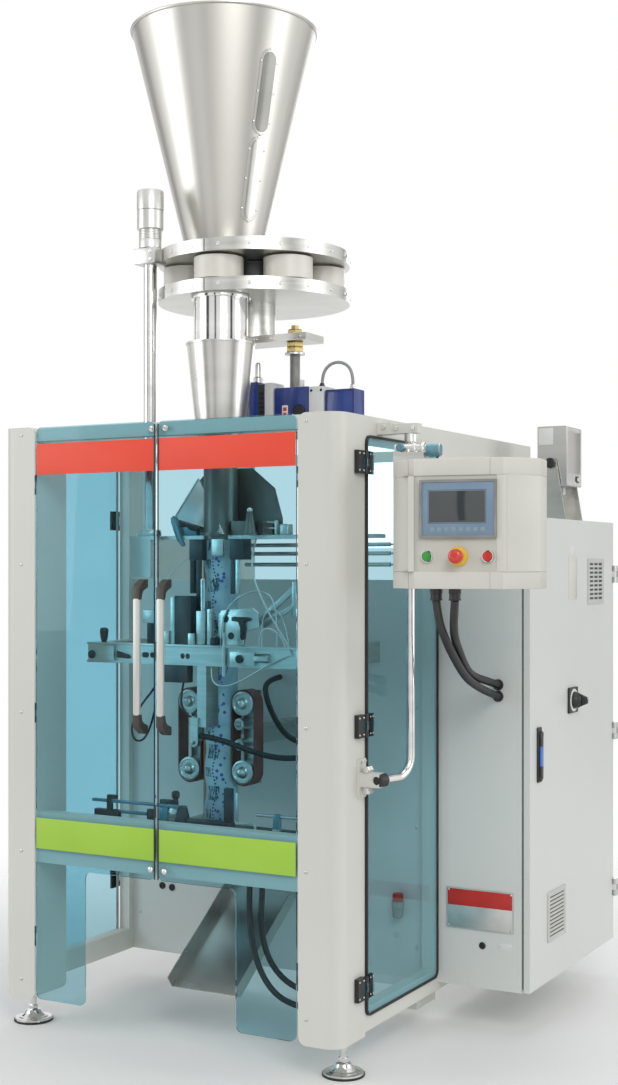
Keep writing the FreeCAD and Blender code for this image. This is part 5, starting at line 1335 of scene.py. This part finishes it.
SW_LO, SW_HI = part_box("main_switch_plate")
SW_Y, SW_Z = (SW_LO[1] + SW_HI[1]) / 2 * 1000 - Y0 * 1000, (SW_LO[2] + SW_HI[2]) / 2 * 1000
plate = blocks(
    "switch_plate", BLACK, [((LEAF_OUT + 0.3, SW_Y - 42, SW_Z - 42), (LEAF_OUT + 8, SW_Y + 42, SW_Z + 42))],
    3, DOOR_BODY,
)
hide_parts("main_switch_plate")
lathes(
    "switch_ring", LABEL, [(LEAF_OUT + 8, SW_Y, SW_Z)], RIGHT,
    [(28, 0), (37, 0), (37, 0.8), (36, 1.2), (28, 1.2)], DOOR_BODY, segments=56,
)
knob = lathes(
    "switch_hub", BLACK, [(LEAF_OUT + 8.6, SW_Y, SW_Z)], RIGHT,
    [(0, 0), (27, 0), (27, 6), (24, 16), (16, 26), (12, 28), (0, 28)], "main_switch_body", segments=48,
)
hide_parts("main_switch_knob")
prism(
    "switch_lever", BLACK,
    [
        (LEAF_OUT + 10, SW_Z - 26), (LEAF_OUT + 26, SW_Z - 22), (LEAF_OUT + 52, SW_Z - 11),
        (LEAF_OUT + 54.6, SW_Z - 8), (LEAF_OUT + 54.6, SW_Z + 8), (LEAF_OUT + 52, SW_Z + 11),
        (LEAF_OUT + 26, SW_Z + 22), (LEAF_OUT + 10, SW_Z + 26),
    ],
    "y", SW_Y - 8, SW_Y + 8, 2.5, "main_switch_body",
)
blocks(
    "switch_mark", LABEL,
    [((LEAF_OUT + 46, SW_Y - 2.4, SW_Z + 4.5), (LEAF_OUT + 55, SW_Y + 2.4, SW_Z + 9))], 0.8,
    "main_switch_body",
)

LA_LO, LA_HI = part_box("cabinet_latch")
LA_Y = (LA_LO[1] + LA_HI[1]) / 2 * 1000 - Y0 * 1000
LZ0, LZ1 = LA_LO[2] * 1000, LA_HI[2] * 1000
latch = blocks(
    "latch_plate", BLACK, [((LEAF_OUT + 0.3, LA_Y - 16, LZ0), (LEAF_OUT + 7, LA_Y + 16, LZ1))], 3.2,
    DOOR_BODY,
)
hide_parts("cabinet_latch")
blocks(
    "latch_grip", BLACK, [((LEAF_OUT + 6.6, LA_Y - 9, LZ0 + 10), (LEAF_OUT + 13.6, LA_Y + 12, LZ1 - 14))],
    3, DOOR_BODY,
)
blocks(
    "latch_insert", LATCH_BLUE,
    [((LEAF_OUT + 8, LA_Y - 10, LZ0 + 50), (LEAF_OUT + 14, LA_Y + 9, LZ0 + 112))], 1.6, DOOR_BODY,
)
lathes(
    "latch_lock", BLACK, [(LEAF_OUT + 6, LA_Y, LZ1 - 24)], RIGHT,
    [(0, 0), (13, 0), (13, 5), (11, 7.4), (4, 7.6), (4, 6), (0, 6)], DOOR_BODY, segments=32,
)
lathes(
    "latch_lock_low", BLACK, [(LEAF_OUT + 6, LA_Y, LZ0 + 14)], RIGHT,
    [(0, 0), (11, 0), (11, 4), (9, 6), (0, 6)], DOOR_BODY, segments=32,
)

ring_frame(
    "name_plate_frame", SATIN, rounded(31, 257, 315, 444, 4), rounded(36, 252, 320, 439, 3), "y",
    CAB_FRONT - 2, CAB_FRONT,
)
blocks("name_plate_red", PLATE_RED, [((35, CAB_FRONT - 1.4, 388), (253, CAB_FRONT, 440))], 0.2)
blocks("name_plate_silver", SATIN, [((35, CAB_FRONT - 1.2, 319), (253, CAB_FRONT, 389))], 0.2)
screws(
    "name_plate_screws", [(x, CAB_FRONT - 1.6, z) for x in (40, 248) for z in (324, 435)], FORE, RIVET,
    CHROME,
)
lathes(
    "cabinet_lock", BLACK, [(153, CAB_FRONT, 270)], FORE,
    [(0, 0), (11, 0), (11, 2), (9.5, 3.4), (6, 3.4), (6, 1.6), (0, 1.6)], segments=32,
)
blocks("cabinet_tag", LABEL, [((205, CAB_FRONT - 1.2, 262), (250, CAB_FRONT, 285))], 0.8)
screws(
    "cabinet_tag_rivets", [(x, CAB_FRONT - 1.2, 273.5) for x in (210, 245)], FORE, RIVET, CHROME, scale=0.7,
)
lathes(
    "conduit_entry", BLACK, [(206, CAB_FRONT, 1046), (206, CAB_FRONT, 1082)], FORE,
    [(12.4, 0), (17, 0), (17, 6), (15.5, 8), (12.4, 8)], segments=32,
)

# ---- sealing arm and what stands on it
ARM_FRONT, ARM_TOP, PLATE_UNDER, PLATE_OVER = 210, 1205, 1532, 1544
blocks("arm_edges", ALUMINIUM, [
    ((-1020, 203, 1198), (-202, ARM_FRONT, ARM_TOP)), ((-1020, 203, ARM_LOW), (-830, ARM_FRONT, 1149)),
    ((-965, 197, 1148), (-910, ARM_FRONT, 1195)), ((-478, 196, 1147), (-392, ARM_FRONT, 1188)),
], 1.2)
# Thin black shapes on the arm's front face for its slots: painted shade in the openings.
bm = bmesh.new()
for x0, x1 in ((-809, -784), (-779, -754), (-665, -650), (-646, -631)):
    add_prism(bm, rounded(x0, x1, 1161, 1178, 7), "y", ARM_FRONT - 0.8, ARM_FRONT + 0.2)
add_prism(
    bm, [(-905, 1180), (-858, 1168), (-852, 1160), (-858, 1156), (-905, 1158)], "y", 206, ARM_FRONT + 0.2,
)
finish_mesh("arm_slot_shade", bm, BLACK)
lathes("arm_pins", DARK_STEEL, [(-1004, ARM_FRONT, 1166), (-442, 196, 1167)], FORE,
       [(13, 0), (13, 5), (11, 8), (4, 9), (0, 9)])
lathes("arm_knob", BLACK, [(-967, 224, ARM_TOP)], UP,
       [(8, 0), (8, 4), (10, 6), (12, 18), (14, 34), (13, 42), (9, 46), (0, 47)])
lathes(
    "arm_hex", STEEL, [(-392, 206, 1170)], RIGHT, [(0, 0), (13, 0), (14, 2), (14, 44), (12, 47), (0, 47)],
    segments=6,
)
blocks("arm_lower_block", DARK_STEEL, [((-745, 214, 1086), (-643, 248, ARM_LOW))], 3)
blocks("arm_cylinders", DARK_STEEL, [
    ((-693, 216, ARM_TOP), (-631, 248, 1356)), ((-803, 226, ARM_TOP), (-777, 248, 1269)),
    ((-560, 214, ARM_TOP), (-543, 238, 1228)), ((-652, 212, ARM_TOP), (-632, 226, 1224)),
], 2)
blocks("arm_fittings", ALUMINIUM, [
    ((-711, 220, ARM_TOP), (-693.4, 230, 1350)), ((-734, 213, ARM_TOP), (-712, 234, 1247)),
    ((-616, 222, ARM_TOP), (-583, 246, 1309)), ((-577, 224, ARM_TOP), (-561, 242, 1316)),
    ((-819, 224, 1269), (-768, 248, 1310)), ((-640, 211, ARM_TOP), (-617, 221, 1240)),
], 2)
lathes("arm_rods", CHROME, [(-598, 234, 1309)], UP, [(8, 0), (8, 98), (6, 100), (0, 100)], segments=20)
lathes(
    "arm_gas_strut", ALUMINIUM, [(-503, 203, 1112)], UP,
    [(0, 0), (6, 0), (6, 96), (4, 98), (4, 132), (0, 133)], segments=18,
)
prism(
    "arm_plate", STEEL,
    [
        (-546, ARM_TOP), (-546, 1298), (-534, 1312), (-424, 1320), (-404, 1304), (-402, 1262), (-448, 1250),
        (-456, ARM_TOP),
    ],
    "y", 240, 248, 0.8,
)
prism(
    "arm_lever", BLACK,
    [
        (-493, 1280), (-493, 1290), (-486, 1294), (-432, 1292), (-425, 1287), (-432, 1282), (-452, 1280),
        (-447, 1262), (-446, 1226), (-457, 1222), (-462, 1228), (-461, 1262), (-468, 1279),
    ],
    "y", 230, 240, 1.5,
)
# Shallow dark discs on the plate for its holes: painted shade in the openings.
lathes("arm_plate_hole_shade", DARK_STEEL, [(-500, 240, 1234), (-520, 240, 1286)], FORE,
       [(11, 0), (11, 1.2), (8, 1.2), (8, 0.3), (0, 0.3)], segments=24)
bm = bmesh.new()
add_prism(bm, [(-464, 1276), (-326, 1389), (-326, 1368), (-455, 1260)], "y", 320, 332, 1)
add_prism(bm, [(-438, 1272), (-326, 1334), (-326, 1318), (-431, 1256)], "y", 320, 332, 1)
add_block(bm, (-340, 332, 1300), (-318, 655, 1330), 2)
add_block(bm, (-330, 318, 1290), (-316, 334, 1400), 2)
finish_mesh("tension_bracket", bm, ALUMINIUM)
blocks("tube_guides", DARK_STEEL, [
    ((-690, 300, 1362), (-672, 312, PLATE_UNDER)), ((-668, 262, 1466), (-620, 312, PLATE_UNDER)),
    ((-520, 262, 1468), (-470, 312, PLATE_UNDER)), ((-642, 262, 1236), (-624, 270, 1466)),
    ((-517, 262, 1362), (-499, 270, 1468)),
], 2)
blocks("tube_guide_faces", ALUMINIUM, [
    ((-498.5, 263, 1362), (-484, 269, 1468)), ((-590, 270, 1480), (-548, 284, PLATE_UNDER)),
], 1.2)
lathes("film_rollers", STEEL, [(-560, 420, 1514), (-560, 420, 1487), (-560, 420, 1453)], RIGHT,
       [(0, 0), (3, 0), (3, 4), (6.5, 4), (6.5, 512), (3, 512), (3, 520), (0, 520)], segments=18)
hose("air_tube_a", WHITE, [
    (-266, ARM_FRONT, 1178), (-276, 205, 1208), (-306, 204, 1251), (-346, 206, 1306),
    (-384, 214, 1366), (-416, 232, 1416), (-440, 262, 1468), (-452, 300, 1512), (-458, 320, PLATE_UNDER),
], 2.5)
hose(
    "air_tube_b", WHITE,
    [
        (-294, 214, ARM_TOP), (-306, 218, 1232), (-336, 222, 1256), (-372, 226, 1262), (-394, 230, 1240),
        (-396, 232, ARM_TOP),
    ],
    2.5,
)
hose(
    "air_tube_c", STEEL,
    [
        (-286, 222, ARM_TOP), (-296, 224, 1258), (-318, 226, 1306), (-352, 228, 1322), (-380, 230, 1296),
        (-386, 232, 1250), (-386, 232, ARM_TOP),
    ],
    2.5,
)
hose(
    "air_tube_d", WHITE,
    [
        (-656, 288, 1486), (-686, 280, 1472), (-728, 272, 1442), (-758, 262, 1400), (-768, 252, 1352),
        (-766, 242, 1300), (-762, 232, 1250), (-762, 232, ARM_TOP),
    ],
    2.5,
)
hose("air_tube_e", STEEL, [
    (-534, 232, ARM_TOP), (-532, 234, 1246), (-524, 236, 1294), (-496, 238, 1338), (-448, 240, 1366),
    (-396, 242, 1374), (-356, 240, 1356), (-340, 238, 1312), (-336, 236, 1258), (-336, 234, ARM_TOP),
], 2.5)
hose("air_tube_f", STEEL, [
    (-560, 226, ARM_LOW), (-556, 214, 1108), (-532, 202, 1084), (-484, 198, 1082), (-424, 198, 1108),
    (-356, 199, 1146), (-300, 203, 1172), (-266, ARM_FRONT, 1184),
], 2.5)
hose(
    "arm_hose_loop", BLACK,
    [
        (-752, 232, ARM_LOW), (-758, 230, 1104), (-776, 227, 1062), (-812, 222, 1022), (-842, 219, 978),
        (-858, 218, 936), (-846, 218, 896), (-812, 221, 898), (-790, 226, 940), (-776, 230, 992),
        (-766, 236, 1046), (-762, 242, 1096), (-762, 244, ARM_LOW),
    ],
    3.5,
)
hose(
    "arm_hose_short", BLACK,
    [
        (-668, 314, 960), (-670, 290, 966), (-682, 268, 984), (-692, 250, 1016), (-690, 256, 1060),
        (-684, 262, 1102), (-680, 249, ARM_LOW),
    ],
    3.5,
)

# ---- forming shoulder
WING = [(-806, 394, 1605.5), (-715, 394, 1728), (-548, 279, 1546)]


def sheet(name, material, corners, push):
    """A thin sheet between corners, thickened along a vector."""
    bm = bmesh.new()
    near = [bm.verts.new(Vector(c)) for c in corners]
    far = [bm.verts.new(Vector(c) + Vector(push)) for c in corners]
    bm.faces.new(near)
    bm.faces.new(far[::-1])
    for k in range(len(corners)):
        n = (k + 1) % len(corners)
        bm.faces.new((near[k], far[k], far[n], near[n]))
    return finish_mesh(name, bm, material)


# The wing takes the bright steel copy, which carries a painted highlight.
sheet("shoulder_wing", WING_STEEL_PAINTED_HIGHLIGHT, WING, (-1.5, -2, 1))
# Chrome rods along the three wing edges stand for the bright lines there: painted highlight.
for n, (a, b) in enumerate(((WING[0], WING[1]), (WING[1], WING[2]), (WING[0], WING[2]))):
    line = [MACHINE @ (Vector(a).lerp(Vector(b), k / 6) + Vector((-1.5, -3, 1))) for k in range(7)]
    tube_mesh("shoulder_edge_%d" % n, CHROME, line, 0.0028, sides=10)
lathes(
    "shoulder_roll", DARK_STEEL, [(-790, 352, 1592)], (0.86, -0.28, -0.2),
    [(0, 0), (9, 2), (11, 20), (9, 120), (4, 134), (0, 134)], segments=20,
)
blocks("shoulder_blocks", CLAMP_BLUE, [((-745, 316, PLATE_OVER), (-676, 340, 1573))], 3)
blocks("shoulder_stops", ALUMINIUM, [((-382, 330, PLATE_OVER), (-352, 366, 1578))], 3)
lathes(
    "shoulder_rods", CHROME, [(-549, 328, 1583), (-549, 328, 1565)], RIGHT,
    [(0, 0), (3, 0), (3, 158), (0, 158)], segments=12,
)
blocks(
    "shoulder_rod_ends", ALUMINIUM,
    [((-394, 322, PLATE_OVER), (-386, 334, 1590)), ((-552, 322, PLATE_OVER), (-546, 334, 1590))], 1.5,
)
lathes(
    "shoulder_ball", CHROME, [(-462, 288, 1613)], UP,
    [(6, 0), (9.5, 4), (10, 8), (8, 13), (4, 15.5), (0, 16)], segments=24,
)
prism(
    "shoulder_hook", CLAMP_BLUE,
    [
        (-764, 1600), (-754, 1608), (-742, 1602), (-736, 1576), (-728, 1544), (-714, 1522), (-712, 1512),
        (-722, 1510), (-740, 1530), (-752, 1560), (-760, 1584),
    ],
    "y", 300, 310, 1.5,
)

# ---- film belts: domed hubs and idlers
BELT_X, WHEEL_FACE = (-698.5, -501.5), 310
WHEEL = [
    (0, 0), (37.6, 0), (37.6, 2.4), (36, 3.6), (31, 3.6), (29, 1.8), (19, 1.8), (15.5, 5), (14.6, 14.4),
    (12.8, 16.4), (8, 19), (3, 20.4), (0, 20.6),
]
lathes(
    "belt_wheel_faces", STEEL, [(x, WHEEL_FACE, z) for x in BELT_X for z in (1021, 807)], FORE, WHEEL,
    segments=48,
)
lathes(
    "belt_idler_faces", STEEL, [(x, 314, z) for x in (BELT_X[0] + 14, BELT_X[1] - 14) for z in (956, 892)],
    FORE, [(0, 0), (18, 0), (17.6, 3), (13, 4.4), (9, 4.4), (8, 8), (5, 12), (0, 13)], segments=36,
)

# ---- jaw carriage above the lower beam
BED = 632
blocks(
    "jaw_bed", DARK_STEEL, [((-1000, 182, 605.3), (-300, 226, BED)), ((-679, 205, BED), (-477, 228, 668))],
    2,
)
blocks(
    "jaw_posts", DARK_STEEL,
    [
        ((-993, 205, BED), (-900, 226, 674)), ((-938, 196, 672), (-918, 208, 712)),
        ((-937, 196, 710), (-902, 210, 723)), ((-793, 210, BED), (-765, 224, 686)),
        ((-747, 214, 696), (-682, 226, 720)), ((-510, 212, 664), (-480, 226, 770)),
    ],
    2.5,
)
blocks(
    "jaw_rails", CLAMP_BLUE,
    [
        ((-996, 198, 698), (-668, 210, 708)), ((-934, 212, 664), (-797, 224, 674)),
        ((-743, 205, BED), (-711, 221, 704)), ((-333, 206, BED), (-311, 224, 704)),
    ],
    2,
)
blocks(
    "jaw_angles", ALUMINIUM,
    [
        ((-464, 208, 668), (-457, 214, 759)), ((-465, 208, 664), (-399, 214, 670)),
        ((-400, 208, BED), (-394, 214, 670)), ((-332, 203, 650), (-310, 207, 660)),
    ],
    1,
)
lathes("jaw_rod", CHROME, [(-394, 216, 697)], RIGHT, [(0, 0), (5, 0), (5, 352), (0, 353)], segments=16)
lathes(
    "jaw_disc", STEEL, [(-694, 214, 673)], FORE, [(0, 0), (23, 0), (23, 4), (20, 5), (6, 5), (0, 7)],
    segments=36,
)
lathes("jaw_knobs", BLACK, [(-690, 220, 718)], UP, [(8, 0), (8, 6), (12, 10), (13, 24), (9, 30), (0, 31)])
lathes(
    "jaw_cone", DARK_STEEL, [(-662, 216, BED)], UP, [(0, 0), (25, 0), (25, 26), (14, 72), (0, 73)],
    segments=28,
)
lathes("wall_grommets", BLACK, [(-1037, INNER_WALL, 341), (-997, INNER_WALL, 338)], FORE,
       [(12, 0), (12, 3), (9, 6), (5, 6), (5, 3), (0, 3)], segments=24)
for side, (body, left, right, bolt_x, (x, z), inward) in DOORS.items():
    screws("door_low_bolts_" + side, [(x, -2.6, z)], FORE, DOME, CHROME, body, scale=1.8)

# ---- air regulator on the inner wall
lathes(
    "regulator_bowl", GREY_PLASTIC, [(-123, 628, 332)], UP,
    [(0, 0), (12, 1), (17, 6), (18, 34), (20, 36), (20, 54), (12, 56), (0, 56)],
)
lathes(
    "regulator_knob", PLATE_RED, [(-123, 628, 388)], UP,
    [(0, 0), (17, 0), (18, 3), (17, 20), (14, 24), (0, 25)], teeth=12, depth=0.8, segments=48,
)
blocks("regulator_bracket", ALUMINIUM, [((-135, 640, 366), (-111, INNER_WALL, 384))], 1.5)

# ---- sizes
low, high = CAD_BOX
